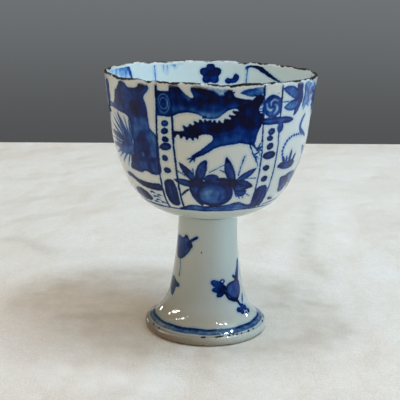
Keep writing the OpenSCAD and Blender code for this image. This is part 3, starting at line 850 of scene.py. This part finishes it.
# Cobalt from none to black, as what it leaves of the glaze's colour
COBALT = ((0.0, (1, 1, 1)), (0.2, (0.5, 0.70, 0.94)), (0.45, (0.15, 0.34, 0.75)), (0.6, (0.05, 0.168, 0.51)),
          (0.75, (0.015, 0.076, 0.38)), (0.85, (0.007, 0.037, 0.25)), (0.93, (0.006, 0.018, 0.13)),
          (1.0, (0.012, 0.012, 0.042)))
# Glaze where it is thick and where it is thin, on the stem darker as painted shade under the bowl, and tints
# that multiply it, most of them painted shade and painted light
BOWL_WHITES = ((0.80, 0.86, 0.845, 1), (0.81, 0.845, 0.795, 1))
# The stem's whites are darker than the bowl's, as painted shade under the bowl
STEM_SHADED_WHITES = ((0.615, 0.67, 0.665, 1), (0.63, 0.645, 0.605, 1))
# Darker towards the underside of the bowl
UNDERSIDE_DARKER = (0.74, 0.80, 0.80, 1)
# Painted cool light and painted shade inside the bowl
INSIDE_LIGHT_TINT = (0.92, 0.98, 1.02, 1)
# Painted cool light on the left of the bowl's outside
LEFT_LIGHT_TINT = (1.03, 1.03, 1.1, 1)
# Painted shade down the stem under the bowl, less on the right
LOW_STEM_SHADE = (0.79, 0.765, 0.74, 1)
LOW_RIGHT_SHADE = (0.87, 0.89, 0.89, 1)
# Painted shade on the flare, darker and warmer on the left
FLARE_LEFT_SHADE = (0.89, 0.82, 0.72, 1)
FLARE_RIGHT_SHADE = (0.97, 0.94, 0.89, 1)
# Painted highlight on the stem's upper right
STEM_HIGHLIGHT = (1.12, 1.2, 1.17, 1)
BAND_TINT = (1.2, 0.9, 0.76, 1)
# Worn lip, foot and slip, with a painted highlight under the lip, painted shade and light on the foot's thin
# glaze, and the slip darkened as painted shade
CREAM = (0.62, 0.53, 0.38, 1)
PALE = (0.76, 0.77, 0.75, 1)
# Painted highlight under the lip
LIP_HIGHLIGHT = (0.86, 0.90, 0.93, 1)
BISCUIT = (0.60, 0.54, 0.45, 1)
BURNT = (0.02, 0.012, 0.008, 1)
# Thin glaze on the foot: browner with painted shade on the left, lighter with painted light on the right
THIN_BROWN_SHADED = (0.56, 0.475, 0.43, 1)
THIN_GREY_LIT = (1.08, 1.11, 1.11, 1)
GLAZE_END = (0.72, 0.56, 0.46, 1)
GRAIN = (0.74, 0.72, 0.70, 1)
IRON = (0.16, 0.12, 0.08, 1)
# Slip darkened as painted shade in the joint under the bowl
SLIP_SHADE_GREEN = (0.27, 0.32, 0.30, 1)
SLIP_SHADE_PALE = (0.36, 0.385, 0.35, 1)
# Depth of the glaze's unevenness
GLAZE_DEPTH = 0.22


def empty_tree(holder):
    """The nodes of a material or of a world, with none in it yet."""
    holder.use_nodes = True
    holder.node_tree.nodes.clear()
    return Value(holder.node_tree)


def begin(name):
    """A new material, its empty tree, and the place on its surface in metres."""
    material = bpy.data.materials.new(name)
    tree = empty_tree(material)
    return material, tree, tree.node("ShaderNodeTexCoord", output="Object")


def end(tree, colour, roughness, height, depth):
    """Glossy surface with a colour, bumped by a height times a depth in millimetres."""
    normal = tree.node("ShaderNodeBump", {}, {"Strength": 1.0, "Distance": depth * MM, "Height": height})
    shader = tree.node("ShaderNodeBsdfPrincipled", {}, {"Base Color": colour, "Roughness": roughness,
                                                        "Normal": normal, "Specular IOR Level": 0.2})
    tree.node("ShaderNodeOutputMaterial", {}, {"Surface": shader}, None)


def glaze_and_cobalt(tree, place, whites):
    """Bluish white glaze, warmer where it is thin, with cobalt under it. The cobalt's edge wanders and
    bleeds, its strength is mottled, and it pools darker along its edge. A few iron specks show through."""
    ink, tone = tree.attribute("ink"), tree.attribute("tone")
    fine, mid, broad = place.noise(1500, 2), place.noise(420, 3), place.noise(28, 2)
    edge = ink + (fine - 0.5) * 0.6 + (mid - 0.5) * 0.6
    inside = edge.rise(0.26, -0.32)
    streak = place.stretched(1, 1, 0.35).noise(260, 2)
    mottle = (mid - 0.5) * 0.6 + (streak - 0.5) * 0.8 + (broad - 0.5) * 0.6
    pool = edge.rise(-1.3, -0.1) * 0.1
    bleed = edge.rise(1.5, 0.1) * 0.09
    strength = ((tone + mottle * (1.35 - tone) + pool) * inside).most(bleed)
    cobalt = strength.node("ShaderNodeValToRGB", {"stops": COBALT}, {"Fac": strength})
    white = broad.rise(0.35, 0.7).over(*whites)
    specks = tree.node("ShaderNodeTexVoronoi", {}, {"Vector": place, "Scale": 110.0})
    rare = place.noise(45, 0).rise(0.64, 0.68)
    white = (specks.rise(0.05, 0.025) * rare * 0.8).over(white, IRON)
    colour = tree.node("ShaderNodeMix", {"data_type": "RGBA", "blend_type": "MULTIPLY"},
                       {0: 1.0, 6: white, 7: cobalt}, 2)
    height = broad * 3 + place.noise(400, 0) * 0.35
    return colour, height, fine, mid, broad


def bowl_finish():
    """Glaze and cobalt, bluer and a little darker inside as painted cool light and painted shade, with
    painted cool light on the outside to the left, and darker towards the underside. At the lip the glaze is
    worn through to burnt clay in a broken brown line, with cream patches of thin glaze and a painted white
    highlight in patches under it. At the back on the left the lip has a painted white highlight, and chips.
    `lip` is the depth from the top of the lip, below zero inside."""
    material, tree, place = begin("bowl_glaze")
    colour, height, fine, mid, _ = glaze_and_cobalt(tree, place, BOWL_WHITES)
    lip = tree.attribute("lip")
    # Darker towards the underside of the bowl
    colour = lip.rise(56, 62).over(colour, UNDERSIDE_DARKER, "MULTIPLY")
    # Painted cool light and painted shade inside
    colour = lip.rise(0.2, -0.8).over(colour, INSIDE_LIGHT_TINT, "MULTIPLY")
    x, y = place.axis(0), place.axis(1)
    # Painted cool light on the left of the outside
    colour = (x.rise(-0.008, -0.03) * lip.rise(0, 1)).over(colour, LEFT_LIGHT_TINT, "MULTIPLY")
    patchy = place.noise(95, 2)
    thin = (lip + (mid - 0.5) * 1.6 + (patchy - 0.5) * 3.2).rise(1.2, 0.5) * lip.rise(-1.5, 0.0)
    colour = (thin * 0.85).over(colour, x.rise(-0.014, 0.002).over(CREAM, PALE))
    # Painted highlight under the lip, in patches
    lip_highlight = lip.rise(0.4, 0.8) * (lip + (mid - 0.5) * 1.6).rise(2.3, 1.1)
    lip_highlight = lip_highlight * place.noise(60, 1).rise(0.42, 0.6)
    colour = (lip_highlight * 0.75).over(colour, LIP_HIGHLIGHT)
    # At the back on the left: a painted white highlight on the lip, less wear, and chips
    back_left = y.rise(0.01, 0.03) * x.rise(0.02, 0.006)
    back_lip_highlight = back_left * (abs(lip) + (mid - 0.5) * 1.6).rise(1.6, 0.8) * place.noise(160, 1).rise(0.36, 0.5)
    colour = (back_lip_highlight * 0.9).over(colour, LIP_HIGHLIGHT)
    worn = abs(lip - 0.15) + (fine - 0.5) * 0.9 + (mid - 0.5) * 1.4 + (patchy - 0.5) * 2.2
    worn = worn.rise(0.7, 0.45) * (1 - back_left * 0.3)
    chipped = (abs(lip) + (fine - 0.5) * 0.6 + (mid - 0.5) * 1.2).rise(0.45, 0.3)
    worn = worn.most(back_left * (chipped * place.noise(120, 1).rise(0.42, 0.5)))
    colour = worn.over(colour, BURNT)
    end(tree, colour, 0.06 + worn * 0.6 + thin * 0.15, height - worn * 0.5, GLAZE_DEPTH)
    return material


def stem_finish():
    """Glaze and cobalt, with painted shade under the bowl that darkens and warms it down the stem and more on
    the flare, less on the right, and a pale blue painted highlight on the upper right. A brown line with
    chips marks where the thick glaze ends at the edge of the foot. Below it the glaze is thin and grainy,
    brown and darker on the left and grey on the right, as its own colour with painted shade on the left and
    painted light on the right. The foot ring is bare clay with rust spots, and the hollow is glazed. `down`
    is the depth from the top of the stem, and runs on over the foot ring and up the hollow."""
    material, tree, place = begin("stem_glaze")
    colour, height, fine, mid, broad = glaze_and_cobalt(tree, place, STEM_SHADED_WHITES)
    down = tree.attribute("down")
    across = place.axis(0)
    # Painted shade under the bowl, down the stem, less on the right
    colour = down.rise(4, 42).over(colour, across.rise(0.002, 0.016).over(LOW_STEM_SHADE, LOW_RIGHT_SHADE), "MULTIPLY")
    # Painted shade on the flare, darker and warmer on the left
    colour = down.rise(40, 46).over(colour, across.rise(-0.004, 0.014).over(FLARE_LEFT_SHADE, FLARE_RIGHT_SHADE),
                                    "MULTIPLY")
    # Painted highlight on the upper right
    colour = (across.rise(0, 0.009) * down.rise(34, 14)).over(colour, STEM_HIGHLIGHT, "MULTIPLY")
    colour = (down.rise(49.3, 49.8) * down.rise(52.2, 51.7)).over(colour, BAND_TINT, "MULTIPLY")
    bare = (down + (mid - 0.5) * 1.0).rise(57.0, 57.6) * (down + (mid - 0.5) * 1.5).rise(66.5, 65.5)
    colour = bare.over(colour, BISCUIT)
    rust = bare * place.noise(210, 3).rise(0.5, 0.72)
    wavy = down + (mid - 0.5) * 0.8
    thin = wavy.rise(52.6, 54.6)
    # Thin glaze: browner as painted shade on the left and lighter as painted light on the right
    thin_light_and_shade = (across + (broad - 0.5) * 0.02).rise(-0.026, 0.024).over(THIN_BROWN_SHADED, THIN_GREY_LIT)
    chip = tree.attribute("chip") + (fine - 0.5) * 0.7
    colour = thin.over(colour, thin_light_and_shade, "MULTIPLY")
    colour = (wavy.rise(52.8, 53.2) * wavy.rise(53.9, 53.4) * 0.6).over(colour, GLAZE_END, "MULTIPLY")
    colour = (wavy.rise(53.2, 54) * fine.rise(0.45, 0.65) * 0.5).over(colour, GRAIN, "MULTIPLY")
    colour = (rust * 0.8).most(chip.rise(0.3, -0.15)).over(colour, BURNT)
    end(tree, colour, 0.06 + bare * 0.6 + thin * 0.1, height, GLAZE_DEPTH)
    return material


def slip_finish():
    """Slip under thick glaze, darkened as painted shade in the joint under the bowl, a little green where it
    pools, with fine unevenness from wiping.
    """
    material, tree, place = begin("slip_glaze")
    broad, mid = place.noise(140, 2), place.noise(700, 3)
    # Painted shade: the slip is dark where it sits in the joint
    colour = broad.rise(0.3, 0.7).over(SLIP_SHADE_GREEN, SLIP_SHADE_PALE)
    end(tree, colour, 0.14 + mid * 0.12, broad + mid * 0.4, 0.15)
    return material


# The cup

def rim_drop(angle):
    """How far the rim lies below its crowns. Each lobe is the top of a circle over its chord, so the drop is
    the circle's sag at the distance from the lobe's middle. Wear adds dips by straight steps from angle to
    angle, and the crests of cosines at many pitches add small nicks."""
    middle = MOUTH_R - LIP_T / 2
    lobe = (PITCH - DIVIDER_ARC) / 2

    def sag(off, half_arc):
        half_w = middle * math.sin(half_arc)
        circle = (half_w**2 + CUSP_DROP**2) / (2 * CUSP_DROP)
        return circle - np.sqrt(circle**2 - (middle * np.sin(off))**2)

    off = np.abs((angle - PANEL_TURN + PITCH / 2) % PITCH - PITCH / 2)
    drop = np.where(off < lobe, sag(np.minimum(off, lobe) - lobe / 2, lobe / 2),
                    sag(PITCH / 2 - np.maximum(off, lobe), DIVIDER_ARC / 2))
    worn = np.interp(np.degrees(angle), *zip(*WEAR), period=360)
    nicks = np.clip(uneven(angle, NICK_PITCHES, 0.9) - 0.5, 0, NICK_DEPTH)
    return RIM_CLEAR + drop + worn + nicks


def uneven(angle, pitches, size):
    """Cosines of the angle at several pitches with chance phases, from 0 to a size."""
    phase = chance.uniform(0, 2 * math.pi, len(pitches))
    waves = sum(np.cos(n * angle + p) for n, p in zip(pitches, phase)) / len(pitches)
    return size * (waves + 1) / 2


# Dividers, one to the right of each panel: angles in degrees of the left and right border line from the
# panel's middle, each at the rim and at the strip's foot, and whether the divider has a knot
STRIPS = (
    (((23.5, 28.4), (34.5, 39.2)), True),
    (((25.4, 24.2), (33.6, 35.4)), False),
    (((25.0, 26.0), (35.0, 36.0)), True),
    (((25.6, 24.6), (34.0, 35.6)), False),
    (((24.6, 26.2), (34.4, 36.2)), True),
    (((28.3, 24.8), (36.0, 38.6)), False),
)


def paint_outside(angle, v, radius):
    """Cobalt on the outside of the bowl: six panels with a divider after each, over a ring line below."""
    wall = Wall(angle, v, radius)
    scenes = ((beast_panel, False), (spray_panel, False), (rock_panel, True),
              (beast_panel, True), (spray_panel, True), (rock_panel, False))
    for k, (scene, flip) in enumerate(scenes):
        wall.paint(PANEL_TURN + k * PITCH, 32, scene, flip)

    def strip(edges, knot):
        """A divider about its own middle, between lines that run evenly from the rim to its foot."""
        drop = np.clip(v / STRIP_FOOT, 0, 1)
        left, right = [np.radians(top + (foot - top) * drop) * radius for top, foot in edges]

        def motif(c):
            c.x = c.x - ((left + right) / 2)[:, None]
            divider(c, (v[::-1], (right - left)[::-1] / 2), knot)

        return motif

    for k, (edges, knot) in enumerate(STRIPS):
        wall.paint(PANEL_TURN + k * PITCH, 58, strip(edges, knot))
    wall.band(v[:, None] - RING_LINE - uneven(angle, (3, 7, 19), 0.5), 0.45, 0.86)
    return wall


def paint_inside(angle, v, radius):
    """Cobalt on the inside of the bowl: six border lines, blossoms and ribbons by turns, and a blossom in a
    double ring on the floor. x runs to the right as seen from within."""
    wall = Wall(angle, v, radius)
    border = [(PITCH / 2 * r, d, .4) for d, r in zip(v[::6], radius[::6]) if r > FLOOR_RINGS[-1] + 1]
    scenes = (inside_ribbon, inside_blossom, inside_ribbon, inside_blossom, inside_wash, inside_blossom)
    for k, scene in enumerate(scenes):
        for motif in (scene, lambda c: c.stroke(border, .8)):
            wall.paint(2 * PANEL_TURN + k * PITCH, 33, motif, True)
    low, radius = v[:, None] > FLOOR_DEPTH, radius[:, None]
    floor = Canvas(np.where(low, radius * np.sin(angle), OFF_CANVAS), -radius * np.cos(angle))
    floor.ink, floor.tone = wall.ink, wall.tone
    for ring in FLOOR_RINGS:
        floor.band(np.where(low, radius, OFF_CANVAS) - ring, 0.42, .86)
    blossom(floor, 0, 0, 8)
    return floor


def build_bowl():
    """The bowl as one surface: out from the middle of the underside, up the outside, over the lip as half an
    ellipse, down the inside and in to the middle of the floor. Columns are closer on the painted outside.
    Near the lip each ring follows the drop of the rim."""
    outside, inside = bowl_curves()
    fine = np.arange(BOWL_COLUMNS) * 2 * math.pi / BOWL_COLUMNS
    coarse = fine[::2]
    half = LIP_T / 2
    # Depths of the rings: under the bowl, up the painted outside, and down the inside to the painted floor
    reach = run(outside)[-1]
    v_under = np.concatenate([reach - np.array([4, 8]), np.linspace(reach - LEVEL_R, 60, 11)])
    v_out = np.linspace(59.4, half, 119)
    deep = run(inside)[-1]
    v_in = np.concatenate([np.linspace(1.5, 16, 17), np.linspace(17.6, deep - 24, 16),
                           np.linspace(deep - 23, deep - 2, 30)])
    outer = paint_outside(fine, v_out, at(outside, v_out)[0])
    inner = paint_inside(coarse, v_in, at(inside, v_in)[0])
    drop = rim_drop(fine)
    wander = uneven(fine, (2, 3, 5), 0.1)
    surface = Surface()

    def ring(angle, radius, height, v, ink=FAR, tone=0.0):
        step = len(fine) // len(angle)
        fall = drop[::step] * np.clip(1 - (abs(v) - half) / 9, 0, 1)
        inward = wander[::step] * np.clip(radius / 30, 0, 1)
        points = turn_ring(angle, radius - inward - fall * math.tan(WALL_LEAN), height - fall)
        surface.add(points, ink=ink, tone=tone, lip=v)

    surface.add(np.array([[0, 0, BOWL_Z]]), ink=FAR, tone=0.0, lip=reach)
    for v in v_under:
        ring(coarse, *at(outside, v), v)
    for v, ink, tone in zip(v_out, outer.ink, outer.tone):
        ring(fine, *at(outside, v), v, ink, tone)
    (r_out, z_out), (r_in, z_in) = at(outside, half), at(inside, half)
    for a in np.linspace(0, math.pi, 9)[1:-1]:
        radius = (r_out + r_in) / 2 + (r_out - r_in) / 2 * math.cos(a)
        ring(fine, radius, z_out + half * math.sin(a), half * (1 - 2 * a / math.pi))
    ring(fine, r_in, z_in, -half)
    for v, ink, tone in zip(v_in, inner.ink, inner.tone):
        ring(coarse, *at(inside, v), -v, ink, tone)
    surface.add(np.array([[0, 0, BOWL_Z + FLOOR_T]]), ink=-3.0, tone=0.99, lip=-deep)
    make_piece("bowl_dressed", "bowl", surface, bowl_finish())


def build_stem():
    """The stem as one closed surface: up the outside from the foot ring, and down the hollow."""
    outside, hollow = stem_curves()
    fine = np.arange(STEM_COLUMNS) * 2 * math.pi / STEM_COLUMNS
    coarse = fine[::2]
    length = run(outside)[-1]
    v_out = np.linspace(length, 0, 133)
    radius = at(outside, v_out)[0]
    c = Canvas(wrap(fine) * radius[:, None], v_out[:, None])
    stem_sprigs(c)
    depth = v_out[:, None] - uneven(fine, (2, 5, 13), 0.5)
    for middle, half_w, strength, soft in ((FOOT_BAND, 1.3, .4, .5), (FOOT_BAND + .2, .3, .47, 1.5),
                                           (FOOT_LINE, .55, .72, .5)):
        c.band(depth - middle, half_w, strength, soft)
    # Chips where the glaze ends, one speck higher up, and chips by chance round the back
    chips = Canvas(c.x, c.v)
    for x, v, a in ((-1.2, 53.3, 1.2), (4.9, 53.2, 1.1), (6.6, 53.1, 1.5), (10.4, 53.2, .6), (12.6, 53, .5),
                    (14.4, 53.1, .6), (17, 53.2, .4), (21.2, 53.2, .8), (24.6, 53, .5), (-24, 53.4, .6),
                    (-29, 53.2, .8), (-2.6, 14.9, .2)):
        chips.spot(x, v, a, .42, 0)
    for x in chance.uniform(34, 140, 22):
        chips.spot(x, FOOT_CHIPS, chance.uniform(.4, 1), .42, 0)
    wander = uneven(fine, (2, 3, 7), 0.16)
    surface = Surface()
    for v, ink, tone, chip in zip(v_out, c.ink, c.tone, chips.ink):
        r, z = at(outside, v)
        points = turn_ring(fine, r - wander * np.clip(z / 6, 0, 1), z)
        surface.add(points, ink=ink, tone=tone, chip=chip, down=v)
    deep = run(hollow)[-1]
    for v in np.linspace(0, deep, 44):
        points = turn_ring(coarse, *at(hollow, v))
        surface.add(points, ink=FAR, tone=0.0, chip=FAR, down=length + FOOT_RING_W + deep - v)
    make_piece("stem_dressed", "stem", surface, stem_finish(), True)


def build_slip():
    """The luting slip: a ring that fills the joint, with a hollow fillet outside, a bead inside, and its top
    against the underside of the bowl."""
    outside, _ = bowl_curves()
    under = outside[::-1]
    inner = STEM_TOP_R - STEM_WALL - SLIP_BEAD
    r_top = np.linspace(STEM_TOP_R + SLIP_FILLET, inner + SLIP_ROUND, 10)
    top = np.column_stack([r_top, np.interp(r_top, under[:, 0], under[:, 1])])
    end_turn = math.pi - math.acos((SLIP_T - SLIP_FILLET) / SLIP_T)
    fillet = arc((STEM_TOP_R + SLIP_T, STEM_H), SLIP_T, math.pi, end_turn, 8)
    fillet = fillet[fillet[:, 1] < top[0, 1] - 0.02]
    bead = np.array([[inner + 0.05, BOWL_Z - 0.15], [inner, BOWL_Z - 0.45], [inner + 0.08, BOWL_Z - 0.75],
                     [inner + SLIP_ROUND, STEM_H]])
    angle = np.arange(SLIP_COLUMNS) * 2 * math.pi / SLIP_COLUMNS
    surface = Surface()
    for r, z in np.vstack([fillet, top, bead]):
        surface.add(turn_ring(angle, r, z))
    make_piece("slip_dressed", "luting_slip", surface, slip_finish(), True)


# Table, light and camera

# Room: the wall as the camera sees it, the dim room that reflections see, and the light of the room
WALL_LOW = (0.08, 0.084, 0.088, 1)
WALL_HIGH = (0.165, 0.175, 0.182, 1)
DIM_ROOM = (0.03, 0.03, 0.03, 1)
ROOM_LIGHT = (0.4, 0.34, 0.245, 1)
# Lamps that light the cup: name, place, size, power, colour, and whether reflections show them
LAMPS = (
    ("ceiling", (0.15, -0.1, 1.2), 1.0, 7.4, (0.87, 0.91, 1.0), False),
    ("window", (0.55, -0.15, 1.05), 0.5, 5.0, (0.42, 0.72, 0.92), True),
    ("window_low", (0.85, -0.35, 0.35), 0.6, 2.1, (0.1, 0.5, 1.0), False),
)
CUP_MIDDLE = (0, 0, 0.06)
# Small lamps that only reflections see, aimed at the foot: place and power
GLINTS = (((-0.58, 0.7, 0.11), 0.3), ((-0.79, 0.3, 0.35), 0.4), ((-0.82, 0.15, 0.385), 0.7),
          ((-0.82, 0.08, 0.395), 0.7), ((-0.82, 0.01, 0.41), 0.7), ((-0.81, -0.06, 0.425), 0.7),
          ((-0.8, -0.13, 0.44), 0.5), ((-0.74, 0.21, 0.5), 0.5), ((-0.7, -0.03, 0.6), 0.6),
          ((-0.66, -0.16, 0.62), 0.6), ((-0.6, -0.28, 0.64), 0.6), ((-0.56, -0.39, 0.61), 0.4),
          ((0.31, -0.42, 0.76), 0.5), ((0.41, -0.35, 0.75), 0.8), ((0.48, -0.29, 0.73), 1.0),
          ((0.54, -0.23, 0.71), 0.8), ((0.09, -0.64, 0.65), 0.4), ((0.73, 0.43, 0.33), 0.7),
          ((0.36, 0, 0.84), 1.2), ((0.46, 0.06, 0.8), 0.8), ((0.26, -0.05, 0.86), 0.8))
GLINT_SIZE = 0.042
FOOT_MIDDLE = (0, 0, 0.01)
# Cloth: the dye from dark to light, painted shade in folds and painted light on ridges, painted light on the
# cloth far off, and a warm tint in front
DYE_DARK = (0.745, 0.705, 0.645, 1)
DYE_LIGHT = (0.885, 0.85, 0.80, 1)
# Painted shade and painted light on the cloth
PAINTED_SHADE_COLOUR = (0.56, 0.50, 0.42, 1)
PAINTED_LIGHT_COLOUR = (0.94, 0.92, 0.89, 1)
# Painted light on the cloth far off
FAR_CLOTH_LIGHT = (0.93, 0.915, 0.89, 1)
WARM_FRONT = (0.99, 0.935, 0.90, 1)
CLOTH_DEPTH = 12
# Painted shade and light on the cloth: shadows of the cup, shade round the foot and in folds, and, below
# zero, painted light on ridges and lighter patches: how dark, how wide, and the line
SHADE_AND_LIGHT_LINES = (
    (0.44, 52, ((-62, 36), (-36, 46), (0, 46), (34, 38))),
    (0.24, 24, ((-90, 20), (-86, 38), (-76, 54), (-62, 66), (-46, 74), (-22, 74))),
    (0.16, 20, ((19, 76), (38, 62), (54, 42))),
    (0.42, 36, ((-56, -8), (-34, -26), (0, -34), (34, -26), (58, -6))),
    (-0.35, 10, ((-106, 16), (-104, 44), (-94, 67), (-80, 82), (-64, 92), (-50, 98), (-31, 96), (-18, 90))),
    (-0.3, 10, ((19, 96), (40, 82), (58, 66), (72, 46))),
    (0.4, 15, ((78, 241), (70, 181), (61, 139), (58, 107), (62, 82), (66, 62))),
    (0.4, 12, ((-123, 127), (-112, 130), (-100, 116), (-89, 105))),
    (0.22, 12, ((-131, 167), (-96, 189), (-60, 197))),
    (0.22, 12, ((-141, 209), (-117, 231), (-70, 253))),
    (0.16, 8, ((-66, 5), (-40, 8), (-26, 4))),
    (0.24, 9, ((29, 24), (47, 27), (64, 25))),
    (-0.4, 18, ((-54, -58), (-24, -62))),
    (-0.4, 20, ((92, 273), (88, 181), (84, 120))),
    (-0.35, 30, ((-90, -58), (-40, -60), (10, -64), (50, -54))),
)
# Table: its front and back edge, how much further the back edge is at the right end, and half its width
TABLE_FRONT = -140
TABLE_BACK = 452
TABLE_SKEW = 68
TABLE_HALF_W = 900
# Camera: focal length and picture width in pixels, width of the sensor, place, tilt and roll in degrees
FOCAL_PX = 924
PICTURE_PX = 400
SENSOR_W = 36
CAMERA_MM = (-3.7, -403, 161)
CAMERA_DOWN = 14.18
CAMERA_ROLL = 1.1


def cloth_finish():
    """Pale cloth with an uneven dye, with painted shade from the cup's shadows and the folds, and painted
    light on ridges. Noise adds more folds, in the bump and in the painted shade, and the weave. `shade` is
    how dark the painted shade is, below zero for painted light. Further back the cloth is lighter, as painted
    light."""
    material, tree, place = begin("table_pale")
    folds, creases = place.stretched(1, 0.6, 1).noise(9, 2), place.stretched(1, 0.7, 1).noise(26, 2)
    weave = place.noise(900, 1)
    # Painted shade and painted light along the laid lines, with noise
    painted_shading = tree.attribute("shade")
    painted_shading = painted_shading + (creases - 0.5) * 0.3 + painted_shading * (place.noise(90, 2) - 0.5) * 1.6
    uneven_dye = place.noise(20, 3) * 0.5 + place.noise(300, 2) * 0.5 + weave * 0.9 - 0.45
    colour = uneven_dye.rise(0.1, 0.9).over(DYE_DARK, DYE_LIGHT)
    colour = painted_shading.rise(0, 1).over(colour, PAINTED_SHADE_COLOUR)
    colour = painted_shading.rise(0, -1).over(colour, PAINTED_LIGHT_COLOUR)
    depth = place.axis(1)
    # Painted light: further back the cloth is lighter
    colour = (depth.rise(0.05, 0.4) * 0.5).over(colour, FAR_CLOTH_LIGHT)
    colour = depth.rise(0.05, -0.05).over(colour, WARM_FRONT, "MULTIPLY")
    end(tree, colour, 0.8 + weave * 0.1, folds * 1.6 + creases * 0.9 + weave * 0.03, CLOTH_DEPTH)
    return material


def build_table():
    """A table with a pale cloth: a flat sheet at the height of the foot, with a grid of points where it is
    seen. A line of painted shade or painted light, for a shadow, fold or ridge, lies on the cloth, by a
    smooth step of the distance."""
    across = np.concatenate([[-TABLE_HALF_W], np.arange(-240, 241, 5), [TABLE_HALF_W]])
    along = np.concatenate([np.arange(TABLE_FRONT, 300, 5), np.linspace(300, TABLE_BACK, 7)])
    x, y = np.meshgrid(across, along)
    y = y + TABLE_SKEW * x / TABLE_HALF_W * (y - TABLE_FRONT) / (TABLE_BACK - TABLE_FRONT)
    c, shade = Canvas(x, y), np.zeros(x.size)
    # Lines of painted shade and painted light
    for strength, width, line in SHADE_AND_LIGHT_LINES:
        gap = c.line_gap(np.ones(x.shape, bool), smooth([(*point, 0) for point in line]), width)
        near = np.clip(1 - gap / width, 0, 1)
        shade += strength * near * near * (3 - 2 * near)
    corner = np.arange(x.size).reshape(x.shape)
    quads = [corner[:-1, :-1], corner[:-1, 1:], corner[1:, 1:], corner[1:, :-1]]
    points = np.column_stack([x.ravel(), y.ravel(), 0 * shade])
    faces = np.column_stack([q.ravel() for q in quads]).tolist()
    table = make_object("table", points, faces, {"shade": shade}, cloth_finish())


def lamp(name, place, aim, size, power, colour, mirrored=True, lights=True):
    """A square soft light in metres, turned to face a point. It may be left out of reflections, or be seen
    only there."""
    light = bpy.data.lights.new(name, "AREA")
    light.size, light.energy, light.color = size, power, colour
    holder = bpy.data.objects.new(name, light)
    holder.location = place
    way = np.array(aim) - np.array(place)
    yaw, tilt = math.atan2(way[1], way[0]), math.acos(-way[2] / np.linalg.norm(way))
    holder.rotation_euler = Euler((tilt, 0, yaw - math.pi / 2))
    holder.visible_glossy, holder.visible_diffuse = mirrored, lights
    bpy.context.collection.objects.link(holder)


def light_world():
    """Even room light. The camera sees a grey wall, darker downwards. In reflections the room in front of
    the cup is dim."""
    world = bpy.data.worlds.new("room")
    bpy.context.scene.world = world
    tree = empty_tree(world)
    way = tree.node("ShaderNodeTexCoord", output="Generated")
    behind, up = way.axis(1), way.axis(2)
    wall = up.rise(-0.2, 0.0).over(WALL_LOW, WALL_HIGH)
    seen, through, mirrored = [tree.node("ShaderNodeLightPath", output=f"Is {ray} Ray")
                               for ray in ("Camera", "Transmission", "Glossy")]
    colour = seen.most(through).over(ROOM_LIGHT, wall)
    colour = mirrored.over(colour, behind.rise(-0.3, 0.4).over(DIM_ROOM, wall))
    background = tree.node("ShaderNodeBackground", {}, {"Color": colour, "Strength": 1.0})
    tree.node("ShaderNodeOutputWorld", {}, {"Surface": background}, None)


def place_camera():
    """The viewpoint: it looks along +Y and down, and is rolled by the lean of the cup in the picture."""
    lens = bpy.data.cameras.new("view")
    lens.sensor_width, lens.lens, lens.clip_start = SENSOR_W, SENSOR_W * FOCAL_PX / PICTURE_PX, 0.01
    camera = bpy.data.objects.new("view", lens)
    camera.location = [d * MM for d in CAMERA_MM]
    tilt = Euler((math.radians(90 - CAMERA_DOWN), 0, 0)).to_matrix()
    camera.rotation_euler = (tilt @ Matrix.Rotation(math.radians(CAMERA_ROLL), 3, "Z")).to_euler()
    bpy.context.collection.objects.link(camera)
    bpy.context.scene.camera = camera


build_bowl()
build_slip()
build_stem()
build_table()
for name, place, size, power, colour, mirrored in LAMPS:
    lamp(name, place, CUP_MIDDLE, size, power, colour, mirrored)
for count, (place, power) in enumerate(GLINTS):
    lamp(f"glint_{count}", place, FOOT_MIDDLE, GLINT_SIZE, power, (1, 1, 1), lights=False)
light_world()
place_camera()
bpy.context.scene.view_settings.view_transform = "Standard"
